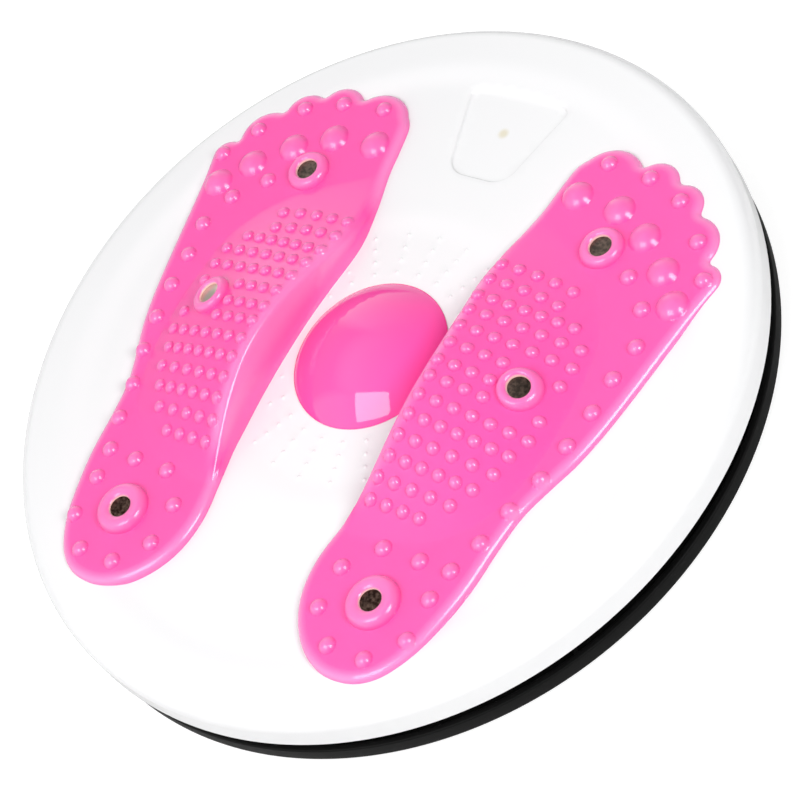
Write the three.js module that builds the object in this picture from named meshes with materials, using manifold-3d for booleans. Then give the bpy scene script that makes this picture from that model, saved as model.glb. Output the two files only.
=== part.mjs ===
// Waist twisting disc: a round platform that a person stands on and swivels from side to side.
// A white top disc with two massage pads turns on a ball bearing over a black base.
// Millimetres, +Z up. The origin is on the floor under the pivot, +Y points towards the toes.

import * as THREE from 'three';
import { mergeVertices } from 'three/addons/utils/BufferGeometryUtils.js';
import Module from 'manifold-3d';

const wasm = await Module();
wasm.setup();

// Overall sizes, from the floor up
const discDiameter = 280;
const baseDiameter = 278.4;
const footProud = 2;
const baseRimHeight = 6.3;
const rimGap = 6.6;
const skirtHeight = 14.1;
const fieldDrop = 1.1;
const wellDrop = 0.6;
const clearance = 0.3;
const overrun = 5;

// Top disc
const shellWall = 2.6;
const skirtWall = 2.5;
const skirtDraft = 0.2;
const shoulderRound = 6;
const crownWidth = 9;
const stepOuterRadius = 124;
const stepInnerRadius = 112;
const wellSlopeRadius = 60;
const wellRadius = 49;
const topHubRadius = 18;
const topHubLength = 6.8;
const nutPocketRadius = 15.5;
const nutPocketDepth = 6;
const ribThickness = 1.8;
const ribHeight = 4;
const ribCount = 6;

// Recessed panel between the toes
const panelDepth = 0.8;
const panelOuterHalf = 21.3;
const panelInnerHalf = 14.6;
const panelInnerY = 75.6;
const panelOuterCorner = 2.5;
const panelInnerCorner = 9;
const panelArcRadius = 112.6;

// Base disc
const baseFloor = 2.5;
const baseRimWall = 2.5;
const baseRimChamfer = 0.8;
const baseRibHeight = 3;
const baseHubRadius = 20;
const headRecessRadius = 12.5;
const headRecessDepth = 5.2;

// Ball bearing
const ballCircleRadius = 100;
const ballRadius = 5;
const ballCount = 12;
const ballGap = 0.35;
const raceWall = 1.2;
const raceHalfWidth = 9;
const raceWallOffset = 7.8;
const raceSeatWall = 2;
const racePolygonAngle = THREE.MathUtils.degToRad(49);
const cageThickness = 2.4;
const cageHalfWidth = 7;

// Pivot
const boltRadius = 4;
const boltHeadRadius = 10;
const boltHeadHeight = 3;
const boltHeadEdge = 1;
const boltTipAboveNut = 1.2;
const washerRadius = 10.5;
const washerThickness = 1.5;
const thrustWasherRadius = 17;
const thrustWasherThickness = 1.2;
const bushWall = 2.4;
const bushFlangeRadius = 10;
const bushFlangeThickness = 1.2;
const nutAcrossFlats = 13;
const nutHeight = 8;
const nutCollarHeight = 2;
const nutCollarRadius = 5.6;

// Centre dome
const domeRadius = 29.6;
const domeHeight = 11.5;
const domeWall = 2.2;
const domeEdge = 1;
const domeSpigotWall = 1.6;
const domeSpigotDepth = 4;

// Rubber feet
const rubberFootRadius = 12;
const rubberFootSeat = 1;
const rubberFootChamfer = 0.8;
const rubberFootInset = 20.2;
const rubberFootCount = 6;

// Massage pads: outline and thickness
const footLength = 210.4;
const footWidth = 86.4;
const footMedialX = 26.1;
const footHeelY = -111.2;
const padThickness = 3.4;
const padEdgeRound = 1.8;

// Massage pads: raised arch
const archHeight = 13.9;
const archReach = 54;
const archSink = 0.6;
const archLedge = 1;
const archRound = 4.5;
const archRootLift = 0.8;
const archShares = { back: 0.224, peak: 0.474, widest: 0.609, front: 0.845, bulge: 0.08 };
const archFrontPower = 1.75;
const archBackPower = 1.22;
const archFrontPlanPower = 2.7;
const archBackPlanPower = 4;
const archBackPlanRoot = 3;

// Massage pads: nubs
const smallNub = { radius: 3.1, height: 1.6, sides: 6 };
const bigNub = { radius: 5.8, height: 2.4, sides: 7 };
const archNub = { radius: 2.1, height: 1.7, sides: 5 };
const nubRoot = 0.7;
const nubShoulderShares = { radius: 0.74, height: 0.66 };
const heelRingRadius = 20.1;
const heelRingCount = 8;
const bossClearance = 2.8;

// Magnets and the bosses that hold them
const magnetRadius = 5;
const magnetThickness = 3.5;
const magnetWindowRadius = 4;
const bossLipRadius = 5;
const bossRoot = 1.5;
const magnetSink = 1.5;
const bossProfileShares = [[0.97, 0.4], [0.86, 0.82], [0.7, 1]];

// Numbers of facets
const discSides = 48;
const bearingSides = 36;
const hubSides = 16;
const domeSides = 24;
const roundSides = 12;
const ballSides = 8;
const ballBands = 4;

// Heights of the levels that pieces share
const baseZ = footProud;
const baseFloorZ = baseZ + baseFloor;
const baseRimZ = baseZ + baseRimHeight;
const skirtZ = baseRimZ + rimGap;
const crownZ = skirtZ + skirtHeight;
const fieldZ = crownZ - fieldDrop;
const wellZ = fieldZ - wellDrop;
const underZ = fieldZ - shellWall;
const pocketFloorZ = wellZ - nutPocketDepth;
const topHubZ = wellZ - shellWall - topHubLength;
const baseHubZ = topHubZ - clearance - thrustWasherThickness;
const headSeatZ = baseZ + headRecessDepth;
const ballZ = (baseFloorZ + underZ) / 2;
const padSeatZ = wellZ;
const padTopZ = padSeatZ + padThickness;
const discRadius = discDiameter / 2;
const baseRadius = baseDiameter / 2;
const rubberFootCircleRadius = baseRadius - rubberFootInset;

// Finishes
const finish = (color, roughness, metalness = 0) =>
  new THREE.MeshStandardMaterial({ color, roughness, metalness });
const whitePlastic = finish('#f2f2f4', 0.25);
const pinkPlastic = finish('#ff5fb0', 0.2);
const pinkVinyl = finish('#ff62b4', 0.35);
const blackPlastic = finish('#1c1c1b', 0.6);
const blackRubber = finish('#111111', 0.85);
const naturalPlastic = finish('#e9e4d6', 0.5);
const steel = finish('#b9bcc0', 0.3, 1);
const magnetBlack = finish('#2b2420', 0.45, 0.6);

// A closed mesh as a solid that can be joined and cut
function toSolid(geometry) {
  const bare = geometry.clone();
  for (const name of Object.keys(bare.attributes)) {
    if (name !== 'position') {
      bare.deleteAttribute(name);
    }
  }
  const merged = mergeVertices(bare);
  const corners = merged.index.array;
  const kept = [];
  for (let i = 0; i < corners.length; i += 3) {
    const [a, b, c] = corners.slice(i, i + 3);
    if (a !== b && b !== c && c !== a) {
      kept.push(a, b, c);
    }
  }
  return new wasm.Manifold(new wasm.Mesh({
    numProp: 3,
    vertProperties: new Float32Array(merged.attributes.position.array),
    triVerts: new Uint32Array(kept),
  }));
}

// A solid's surface as a geometry with flat facets
function toGeometry(solid) {
  const mesh = solid.getMesh();
  const geometry = new THREE.BufferGeometry();
  geometry.setAttribute('position', new THREE.BufferAttribute(new Float32Array(mesh.vertProperties), 3));
  geometry.setIndex(new THREE.BufferAttribute(new Uint32Array(mesh.triVerts), 1));
  geometry.computeVertexNormals();
  return geometry;
}

// A geometry less and plus others, as one closed body
function combine(base, { add = [], cut = [] }) {
  let solid = toSolid(base);
  if (add.length) {
    solid = wasm.Manifold.union([solid, ...add.map(toSolid)]);
  }
  if (cut.length) {
    solid = solid.subtract(wasm.Manifold.union(cut.map(toSolid)));
  }
  return toGeometry(solid);
}

// A profile of [radius, height] points, counter-clockwise, turned about +Z
function turned(profile, sides) {
  const points = profile.map(([r, z]) => new THREE.Vector2(r, z));
  const first = points[0];
  const last = points[points.length - 1];
  if (first.x > 0 || last.x > 0) {
    points.push(first.clone());
  }
  return new THREE.LatheGeometry(points, sides).rotateX(Math.PI / 2);
}

// A plain round disc or column between two heights
function cylinder(radius, low, high, sides) {
  return turned([[0, low], [radius, low], [radius, high], [0, high]], sides);
}

// A ring of rectangular section between two heights
function ring(inner, outer, low, high, sides) {
  return turned([[inner, low], [outer, low], [outer, high], [inner, high]], sides);
}

// A flat outline raised between two heights
function raised(points, low, high) {
  const shape = new THREE.Shape(points);
  return new THREE.ExtrudeGeometry(shape, { depth: high - low, bevelEnabled: false }).translate(0, 0, low);
}

// A skin over loops of equal count, closed at both ends by a flat cap. Each loop runs
// counter-clockwise seen from the end that the loops advance to.
function lofted(loops, flatten) {
  const count = loops[0].length;
  const positions = loops.flat().flatMap((p) => [p.x, p.y, p.z]);
  const index = [];
  for (let k = 0; k + 1 < loops.length; k += 1) {
    for (let i = 0; i < count; i += 1) {
      const j = (i + 1) % count;
      const a = k * count + i;
      const b = k * count + j;
      index.push(a, b, b + count, a, b + count, a + count);
    }
  }
  const cap = (k, flip) => {
    for (const [a, b, c] of THREE.ShapeUtils.triangulateShape(loops[k].map(flatten), [])) {
      const corners = flip ? [a, c, b] : [a, b, c];
      index.push(...corners.map((corner) => corner + k * count));
    }
  };
  cap(0, true);
  cap(loops.length - 1, false);
  const geometry = new THREE.BufferGeometry();
  geometry.setAttribute('position', new THREE.Float32BufferAttribute(positions, 3));
  geometry.setIndex(index);
  return geometry;
}

// The mirror image of a geometry across the plane between the feet
function mirrored(geometry) {
  const copy = geometry.clone().scale(-1, 1, 1);
  const corners = copy.index.array;
  for (let i = 0; i < corners.length; i += 3) {
    [corners[i + 1], corners[i + 2]] = [corners[i + 2], corners[i + 1]];
  }
  copy.computeVertexNormals();
  return copy;
}

// A loop moved inwards by a distance, each corner along the middle of its angle
function insetLoop(loop, distance) {
  const miterLimit = 1.4;
  return loop.map((point, i) => {
    const before = loop[(i + loop.length - 1) % loop.length];
    const after = loop[(i + 1) % loop.length];
    const inA = point.clone().sub(before).normalize();
    const inB = after.clone().sub(point).normalize();
    const normal = new THREE.Vector2(-inA.y - inB.y, inA.x + inB.x).normalize();
    const widen = Math.min(1 / Math.max(normal.dot(new THREE.Vector2(-inA.y, inA.x)), 0.1), miterLimit);
    return point.clone().addScaledVector(normal, distance * widen);
  });
}

// Places on the right foot, from shares of its width and length
const footX = (share) => footMedialX + share * footWidth;
const footY = (share) => footHeelY + share * footLength;
const footPoint = ([x, y]) => new THREE.Vector2(footX(x), footY(y));

// Sides of the foot from the big toe round the heel to the little toe
const sideShares = [
  [0.133, 0.947], [0.111, 0.899], [0.094, 0.852], [0.056, 0.790], [0.035, 0.738], [0.034, 0.690],
  [0.057, 0.619], [0.073, 0.548], [0.078, 0.471], [0.073, 0.395], [0.056, 0.315], [0.027, 0.243],
  [0.001, 0.172], [0.015, 0.115], [0.067, 0.067], [0.155, 0.027], [0.259, 0.005], [0.352, 0],
  [0.450, 0.008], [0.537, 0.034], [0.610, 0.082], [0.654, 0.139], [0.689, 0.210], [0.705, 0.286],
  [0.727, 0.348], [0.777, 0.405], [0.828, 0.457], [0.869, 0.519], [0.905, 0.595], [0.936, 0.671],
  [0.969, 0.747],
];

// Toes from the little one to the big one: centre, and radius as a share of the length
const toeShares = [
  [0.924, 0.808, 0.032], [0.782, 0.861, 0.056], [0.661, 0.923, 0.044], [0.510, 0.951, 0.044],
  [0.299, 0.939, 0.061],
];

// Nubs on the toes, the outer ball and the outer edge, then the wide ones on the ball
const smallNubShares = [
  [0.280, 0.965], [0.489, 0.957], [0.667, 0.930], [0.832, 0.868], [0.938, 0.806], [0.631, 0.778],
  [0.758, 0.730], [0.820, 0.666], [0.798, 0.603], [0.790, 0.540], [0.765, 0.475], [0.734, 0.410],
  [0.681, 0.346], [0.641, 0.281], [0.588, 0.223],
];
const bigNubShares = [[0.223, 0.895], [0.436, 0.888], [0.606, 0.852], [0.759, 0.802], [0.871, 0.750]];

// Rows of nubs on the arch from front to back: place along the foot, count, first and last place
// across the width, how far the row bows inwards and how far its outer end falls back
const archRowShares = [
  [0.7345, 5, 0.098, 0.449, 0.003, 0.0095],
  [0.7005, 5, 0.098, 0.4305, 0.001, 0.0085],
  [0.664, 7, 0.105, 0.545, 0.001, 0],
  [0.632, 7, 0.121, 0.618, 0.006, 0],
  [0.598, 7, 0.134, 0.625, 0.007, 0],
  [0.562, 7, 0.149, 0.6215, 0.003, 0],
  [0.526, 7, 0.149, 0.611, 0.003, 0],
  [0.495, 7, 0.158, 0.622, 0, 0],
  [0.459, 7, 0.159, 0.6215, 0, 0],
  [0.424, 7, 0.158, 0.5845, 0.001, 0],
  [0.3885, 6, 0.1535, 0.562, 0.0115, 0],
  [0.354, 6, 0.148, 0.514, 0, 0],
  [0.3185, 5, 0.130, 0.457, 0.007, 0],
  [0.2835, 4, 0.130, 0.359, 0.001, 0],
];

// Magnet bosses under the ball, the arch and the heel
const bosses = [
  { name: 'toe', centreShares: [0.457, 0.814], radius: 8.3, height: 3.1 },
  { name: 'arch', centreShares: [0.501, 0.531], radius: 8.3, height: 3.1 },
  { name: 'heel', centreShares: [0.352, 0.130], radius: 10.2, height: 4.1 },
];

// The outer point where two neighbouring toes meet
function toeCleft(a, b) {
  const away = b.centre.clone().sub(a.centre);
  const gap = away.length();
  const unit = away.normalize();
  const along = (a.radius ** 2 - b.radius ** 2 + gap ** 2) / (2 * gap);
  const across = Math.sqrt(a.radius ** 2 - along ** 2);
  return a.centre.clone().addScaledVector(unit, along)
    .add(new THREE.Vector2(unit.y, -unit.x).multiplyScalar(across));
}

// The foot's outline, counter-clockwise, with its toes as arcs and its sides as one spline
function footOutline() {
  const sideSteps = 30;
  const arcStep = THREE.MathUtils.degToRad(28);
  const littleToeStart = THREE.MathUtils.degToRad(-20);
  const bigToeEnd = THREE.MathUtils.degToRad(150);
  const toes = toeShares.map(([x, y, r]) => ({ centre: footPoint([x, y]), radius: r * footLength }));
  const angleOn = (toe, point) => point.clone().sub(toe.centre).angle();
  const outline = [];
  toes.forEach((toe, i) => {
    const from = i === 0 ? littleToeStart : angleOn(toe, toeCleft(toes[i - 1], toe));
    const to = i === toes.length - 1 ? bigToeEnd : angleOn(toe, toeCleft(toe, toes[i + 1]));
    const start = from > Math.PI ? from - 2 * Math.PI : from;
    const steps = Math.ceil((to - start) / arcStep);
    for (let k = i === 0 ? 0 : 1; k <= steps; k += 1) {
      const angle = start + (to - start) * (k / steps);
      outline.push(new THREE.Vector2(Math.cos(angle), Math.sin(angle))
        .multiplyScalar(toe.radius).add(toe.centre));
    }
  });
  const knots = [outline[outline.length - 1], ...sideShares.map(footPoint), outline[0]];
  const side = new THREE.SplineCurve(knots);
  return [...outline, ...side.getPoints(sideSteps).slice(1, -1)];
}

const rightOutline = footOutline();

// The outline's inner edge at a given distance along the foot
function medialEdge(y) {
  let edge = Infinity;
  rightOutline.forEach((a, i) => {
    const b = rightOutline[(i + 1) % rightOutline.length];
    if ((a.y - y) * (b.y - y) <= 0 && a.y !== b.y) {
      edge = Math.min(edge, a.x + (b.x - a.x) * ((y - a.y) / (b.y - a.y)));
    }
  });
  return edge;
}

// The arch's crest above the pad's surface, and its reach from the inner edge
const archBackY = footY(archShares.back);
const archPeakY = footY(archShares.peak);
const archWidestY = footY(archShares.widest);
const archFrontY = footY(archShares.front);

// How far a place lies from a middle towards the arch's front or back, as a share up to 1
function alongArch(y, middle) {
  const end = y > middle ? archFrontY : archBackY;
  return Math.min((y - middle) / (end - middle), 1);
}

function crestHeight(y) {
  const fade = Math.cos((Math.PI / 2) * alongArch(y, archPeakY));
  return archHeight * fade ** (y > archPeakY ? archFrontPower : archBackPower);
}

function archSpan(y) {
  const along = alongArch(y, archWidestY);
  const share = y > archWidestY
    ? 1 - along ** archFrontPlanPower
    : (1 - along ** archBackPlanPower) ** (1 / archBackPlanRoot);
  const edge = medialEdge(y);
  return { edge, crease: edge + archReach * share };
}

// The arch's slope from its crest down to the crease, as a share of the crest
const slopeShare = (s) => 1 - s + 4 * archShares.bulge * s * (1 - s);

// Height of the pad's top at any place, and its lean away from the inner edge
function topHeight(x, y) {
  const { edge, crease } = archSpan(y);
  const start = edge + archLedge + archRound;
  const s = THREE.MathUtils.clamp((x - start) / (crease - start), 0, 1);
  const rise = (crestHeight(y) + archSink) * slopeShare(s) - archSink;
  return padTopZ + Math.max(rise, 0);
}

function topLean(x, y) {
  const probe = archNub.radius;
  return Math.atan2(topHeight(x - probe, y) - topHeight(x + probe, y), 2 * probe);
}

// The flat part of a pad, with a rounded edge
function padSlab() {
  const quarter = Math.PI / 4;
  const ringAt = (inset, z) => insetLoop(rightOutline, inset).map((p) => new THREE.Vector3(p.x, p.y, z));
  const loops = [
    ringAt(0, padSeatZ),
    ringAt(0, padTopZ - padEdgeRound),
    ringAt(padEdgeRound * (1 - Math.cos(quarter)), padTopZ - padEdgeRound * (1 - Math.sin(quarter))),
    ringAt(padEdgeRound, padTopZ),
  ];
  return lofted(loops, (p) => new THREE.Vector2(p.x, p.y));
}

// The arch's wedge: a steep wall on the inner side, a rounded crest and a long slope
function archWedge() {
  const stations = 12;
  const endShare = 0.97;
  const quarter = Math.PI / 4;
  const loops = [];
  for (let k = 0; k <= stations; k += 1) {
    const middle = (archFrontY + archBackY) / 2;
    const y = middle + ((archFrontY - archBackY) / 2) * endShare * (2 * (k / stations) - 1);
    const { edge, crease } = archSpan(y);
    const rise = crestHeight(y) + archSink;
    const base = padTopZ - archSink;
    const wall = edge + archLedge;
    const rounding = Math.min(archRound, rise);
    const crestX = wall + rounding;
    const crestZ = base + rise;
    const root = padSeatZ + archRootLift;
    const slope = (s) => [crestX + (crease - crestX) * s, base + rise * slopeShare(s)];
    const section = [
      [wall, root],
      [crease, root],
      slope(1),
      slope(1 / 2),
      [crestX, crestZ],
      [wall + rounding * (1 - Math.sin(quarter)), crestZ - rounding * (1 - Math.cos(quarter))],
      [wall, crestZ - rounding],
    ];
    loops.push(section.map(([x, z]) => new THREE.Vector3(x, y, z)).reverse());
  }
  return lofted(loops, (p) => new THREE.Vector2(-p.x, p.z));
}

// A low rounded nub with its root below the surface, and the pointed kind on the arch
function roundNub({ radius, height, sides }) {
  const shoulder = nubShoulderShares;
  const flare = (nubRoot / (height * shoulder.height)) * (1 - shoulder.radius);
  return turned([
    [0, -nubRoot],
    [radius * (1 + flare), -nubRoot],
    [radius * shoulder.radius, height * shoulder.height],
    [0, height],
  ], sides);
}

function pointedNub({ radius, height, sides }) {
  return turned([[0, -nubRoot], [radius * (1 + nubRoot / height), -nubRoot], [0, height]], sides);
}

function onTop(geometry, x, y) {
  return geometry.rotateY(topLean(x, y)).translate(x, y, topHeight(x, y));
}

function bossPlace({ centreShares }) {
  const centre = footPoint(centreShares);
  return { x: centre.x, y: centre.y, z: topHeight(centre.x, centre.y), lean: topLean(centre.x, centre.y) };
}

// Nubs in their places, less those that a boss would cover
function nubs() {
  const centres = bosses.map((boss) => ({ centre: footPoint(boss.centreShares), radius: boss.radius }));
  const isFree = (x, y) => centres.every(({ centre, radius }) =>
    Math.hypot(x - centre.x, y - centre.y) > radius + bossClearance);
  const made = [];
  smallNubShares.map(footPoint).forEach((p) => made.push(onTop(roundNub(smallNub), p.x, p.y)));
  bigNubShares.map(footPoint).forEach((p) => made.push(onTop(roundNub(bigNub), p.x, p.y)));
  const heel = centres[centres.length - 1].centre;
  for (let k = 0; k < heelRingCount; k += 1) {
    const angle = (2 * Math.PI * (k + 1 / 2)) / heelRingCount;
    const x = heel.x + heelRingRadius * Math.cos(angle);
    const y = heel.y + heelRingRadius * Math.sin(angle);
    made.push(onTop(roundNub(smallNub), x, y));
  }
  archRowShares.forEach(([place, count, first, last, bow, droop]) => {
    for (let k = 0; k < count; k += 1) {
      const along = k / (count - 1);
      const x = footX(first + (last - first) * along - bow * Math.sin(Math.PI * along));
      const y = footY(place - droop * along ** 3);
      if (isFree(x, y)) {
        made.push(onTop(pointedNub(archNub), x, y));
      }
    }
  });
  return made;
}

// A soft ring round a magnet, and the pocket and window that hold and show it
function bossShapes(boss) {
  const { x, y, z, lean } = bossPlace(boss);
  const seat = (geometry) => geometry.rotateY(lean).translate(x, y, z);
  const mouth = magnetRadius + clearance;
  const lift = boss.height - magnetSink;
  const rise = bossProfileShares.map(([r, h]) => [boss.radius * r, boss.height * h]);
  const body = turned([[0, -bossRoot], [boss.radius, -bossRoot], ...rise, [0, boss.height]], roundSides);
  const pocket = cylinder(mouth, lift - magnetThickness - clearance, lift + clearance, roundSides);
  const window = turned([
    [0, lift],
    [magnetWindowRadius, lift],
    [bossLipRadius, boss.height],
    [bossLipRadius, boss.height + overrun],
    [0, boss.height + overrun],
  ], roundSides);
  return { body: seat(body), cuts: [seat(pocket), seat(window)] };
}

function footPad() {
  const shapes = bosses.map(bossShapes);
  return combine(padSlab(), {
    add: [archWedge(), ...shapes.map((shape) => shape.body), ...nubs()],
    cut: shapes.flatMap((shape) => shape.cuts),
  });
}

// Top disc
function panelOutline() {
  const cornerSteps = 3;
  const outerCornerY = Math.sqrt(panelArcRadius ** 2 - panelOuterHalf ** 2);
  const arcSteps = 6;
  const arcHalf = Math.asin((panelOuterHalf - panelOuterCorner) / panelArcRadius);
  const points = [];
  for (let k = 0; k <= arcSteps; k += 1) {
    const angle = Math.PI / 2 - arcHalf + (2 * arcHalf * k) / arcSteps;
    points.push(new THREE.Vector2(Math.cos(angle), Math.sin(angle)).multiplyScalar(panelArcRadius));
  }
  const corner = (half, y, size, towards) => {
    const centre = new THREE.Vector2(-half + size, y);
    for (let k = 0; k <= cornerSteps; k += 1) {
      const angle = towards + ((Math.PI / 2) * k) / cornerSteps;
      const out = new THREE.Vector2(Math.cos(angle), Math.sin(angle)).multiplyScalar(size);
      points.push(centre.clone().add(out));
    }
  };
  points.push(new THREE.Vector2(-panelOuterHalf, outerCornerY - panelOuterCorner));
  corner(panelInnerHalf, panelInnerY + panelInnerCorner, panelInnerCorner, Math.PI);
  const left = points.slice(arcSteps + 1);
  left.reverse().forEach((p) => points.push(new THREE.Vector2(-p.x, p.y)));
  return points;
}

function topShell() {
  const shoulderRadius = discRadius - skirtDraft;
  const centreR = shoulderRadius - shoulderRound;
  const centreZ = crownZ - shoulderRound;
  const shoulder = [0, 1, 2, 3].map((k) => {
    const angle = (Math.PI / 2) * (k / 3);
    return [centreR + shoulderRound * Math.cos(angle), centreZ + shoulderRound * Math.sin(angle)];
  });
  const stepMiddle = [(stepOuterRadius + stepInnerRadius) / 2, (crownZ + fieldZ) / 2];
  const skirtInner = discRadius - skirtWall;
  const middle = (nutPocketRadius + topHubRadius) / 2;
  return turned([
    [middle, underZ],
    [centreR - crownWidth, underZ],
    [centreR, crownZ - shellWall],
    [skirtInner, centreZ],
    [skirtInner, skirtZ],
    [discRadius, skirtZ],
    ...shoulder,
    [stepOuterRadius, crownZ],
    stepMiddle,
    [stepInnerRadius, fieldZ],
    [wellSlopeRadius, fieldZ],
    [wellRadius, wellZ],
    [middle, wellZ],
  ], discSides);
}

function topHub() {
  const bushBore = boltRadius + clearance + bushWall + clearance;
  return turned([
    [bushBore, topHubZ],
    [topHubRadius, topHubZ],
    [topHubRadius, wellZ],
    [nutPocketRadius, wellZ],
    [nutPocketRadius, pocketFloorZ],
    [bushBore, pocketFloorZ],
  ], hubSides);
}

// Flat ribs that run outwards from the middle
function spokes(inner, outer, low, high) {
  const made = [];
  for (let k = 0; k < ribCount; k += 1) {
    const rib = new THREE.BoxGeometry(outer - inner, ribThickness, high - low);
    rib.translate((inner + outer) / 2, 0, (low + high) / 2).rotateZ((2 * Math.PI * (k + 1 / 2)) / ribCount);
    made.push(rib);
  }
  return made;
}

// Radii of the two walls that carry a race
const raceSeats = [-raceWallOffset, raceWallOffset].map((offset) => ({
  inner: ballCircleRadius + offset - raceSeatWall / 2,
  outer: ballCircleRadius + offset + raceSeatWall / 2,
}));

function topDisc() {
  const seatZ = ballZ + raceFlangeZ() + raceWall;
  const embed = shellWall / 2;
  const low = underZ - ribHeight;
  const high = underZ + embed / 2;
  const walls = raceSeats.map(({ inner, outer }) =>
    ring(inner, outer, seatZ, underZ + embed, bearingSides));
  const footPrint = insetLoop(rightOutline, -clearance);
  const leftPrint = footPrint.map((p) => new THREE.Vector2(-p.x, p.y)).reverse();
  return combine(topShell(), {
    add: [
      topHub(),
      ...walls,
      ...spokes(topHubRadius - embed, raceSeats[0].inner + embed, low, high),
      ...spokes(raceSeats[1].outer - embed, discRadius - skirtWall * 2, low, high),
    ],
    cut: [
      raised(panelOutline(), fieldZ - panelDepth, fieldZ + overrun),
      raised(footPrint, padSeatZ, padSeatZ + overrun),
      raised(leftPrint, padSeatZ, padSeatZ + overrun),
    ],
  });
}

// Base disc
function baseShell() {
  const rimInner = baseRadius - baseRimWall;
  const middle = (headRecessRadius + baseHubRadius) / 2;
  return turned([
    [middle, baseZ],
    [baseRadius - baseRimChamfer, baseZ],
    [baseRadius, baseZ + baseRimChamfer],
    [baseRadius, baseRimZ - baseRimChamfer],
    [baseRadius - baseRimChamfer, baseRimZ],
    [rimInner, baseRimZ],
    [rimInner, baseFloorZ],
    [middle, baseFloorZ],
  ], discSides);
}

function baseHub() {
  const bore = boltRadius + clearance;
  return turned([
    [headRecessRadius, baseZ],
    [baseHubRadius, baseZ],
    [baseHubRadius, baseHubZ],
    [bore, baseHubZ],
    [bore, headSeatZ],
    [headRecessRadius, headSeatZ],
  ], hubSides);
}

function rubberFootAngles() {
  return Array.from({ length: rubberFootCount }, (_, k) => (2 * Math.PI * (k + 1 / 2)) / rubberFootCount);
}

function baseDisc() {
  const seatZ = ballZ - raceFlangeZ() - raceWall;
  const embed = baseFloor / 2;
  const low = baseFloorZ - embed / 2;
  const high = baseFloorZ + baseRibHeight;
  const walls = raceSeats.map(({ inner, outer }) =>
    ring(inner, outer, baseFloorZ - embed, seatZ, bearingSides));
  const footSeats = rubberFootAngles().map((angle) =>
    cylinder(rubberFootRadius + clearance, baseZ - overrun, baseZ + rubberFootSeat, roundSides)
      .translate(rubberFootCircleRadius * Math.cos(angle), rubberFootCircleRadius * Math.sin(angle), 0));
  return combine(baseShell(), {
    add: [
      baseHub(),
      ...walls,
      ...spokes(baseHubRadius - embed, raceSeats[0].inner + embed, low, high),
      ...spokes(raceSeats[1].outer - embed, baseRadius - baseRimWall + embed / 2, low, high),
    ],
    cut: footSeats,
  });
}

// Ball bearing
function raceFlangeZ() {
  const groove = (ballRadius + ballGap) / Math.cos(racePolygonAngle / 2);
  return groove * Math.cos(racePolygonAngle * 3 / 2);
}

// A pressed ring: a channel under the balls between two flat flanges
function ballRace(up) {
  const inside = (ballRadius + ballGap) / Math.cos(racePolygonAngle / 2);
  const outside = (ballRadius + ballGap + raceWall) / Math.cos(racePolygonAngle / 2);
  const flange = raceFlangeZ();
  const half = racePolygonAngle / 2;
  const shoulderX = inside * Math.sin(3 * half);
  const drop = outside * Math.cos(half) - flange - raceWall;
  const outerShoulderX = outside * Math.sin(half) + drop / Math.tan(racePolygonAngle);
  const section = [
    [-raceHalfWidth, -flange - raceWall],
    [-outerShoulderX, -flange - raceWall],
    [-outside * Math.sin(half), -outside * Math.cos(half)],
    [outside * Math.sin(half), -outside * Math.cos(half)],
    [outerShoulderX, -flange - raceWall],
    [raceHalfWidth, -flange - raceWall],
    [raceHalfWidth, -flange],
    [shoulderX, -flange],
    [inside * Math.sin(half), -inside * Math.cos(half)],
    [-inside * Math.sin(half), -inside * Math.cos(half)],
    [-shoulderX, -flange],
    [-raceHalfWidth, -flange],
  ];
  const placed = section.map(([x, z]) => [ballCircleRadius + x, ballZ + (up ? -z : z)]);
  return turned(up ? placed.reverse() : placed, bearingSides);
}

function ballCage() {
  const pocketSides = 8;
  const low = ballZ - cageThickness / 2;
  const blank = ring(
    ballCircleRadius - cageHalfWidth,
    ballCircleRadius + cageHalfWidth,
    low,
    low + cageThickness,
    bearingSides,
  );
  const pockets = ballAngles().map((angle) =>
    cylinder(ballRadius + ballGap, low - overrun, low + overrun + cageThickness, pocketSides)
      .translate(ballCircleRadius * Math.cos(angle), ballCircleRadius * Math.sin(angle), 0));
  return combine(blank, { cut: pockets });
}

function ballAngles() {
  return Array.from({ length: ballCount }, (_, k) => (2 * Math.PI * k) / ballCount);
}

// Pivot pieces
const pivotBore = boltRadius + clearance;
const headWasherZ = headSeatZ - washerThickness;
const bushFlangeZ = pocketFloorZ + bushFlangeThickness;
const nutWasherZ = bushFlangeZ + clearance;
const nutZ = nutWasherZ + washerThickness;

function pivotBolt() {
  const low = headWasherZ - boltHeadHeight;
  return turned([
    [0, low],
    [boltHeadRadius - boltHeadEdge, low],
    [boltHeadRadius, low + boltHeadEdge],
    [boltHeadRadius, headWasherZ],
    [boltRadius, headWasherZ],
    [boltRadius, nutZ + nutHeight + boltTipAboveNut],
    [0, nutZ + nutHeight + boltTipAboveNut],
  ], roundSides);
}

function pivotBush() {
  return turned([
    [pivotBore, topHubZ],
    [pivotBore + bushWall, topHubZ],
    [pivotBore + bushWall, pocketFloorZ],
    [bushFlangeRadius, pocketFloorZ],
    [bushFlangeRadius, bushFlangeZ],
    [pivotBore, bushFlangeZ],
  ], roundSides);
}

function lockNut() {
  const cornerRadius = nutAcrossFlats / Math.sqrt(3);
  const hexagon = new THREE.CylinderGeometry(cornerRadius, cornerRadius, nutHeight - nutCollarHeight, 6);
  hexagon.rotateX(Math.PI / 2).translate(0, 0, nutZ + (nutHeight - nutCollarHeight) / 2);
  const collar = cylinder(nutCollarRadius, nutZ + nutCollarHeight, nutZ + nutHeight, roundSides);
  return combine(hexagon, {
    add: [collar],
    cut: [cylinder(pivotBore, nutZ - overrun, nutZ + nutHeight + overrun, roundSides)],
  });
}

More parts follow.
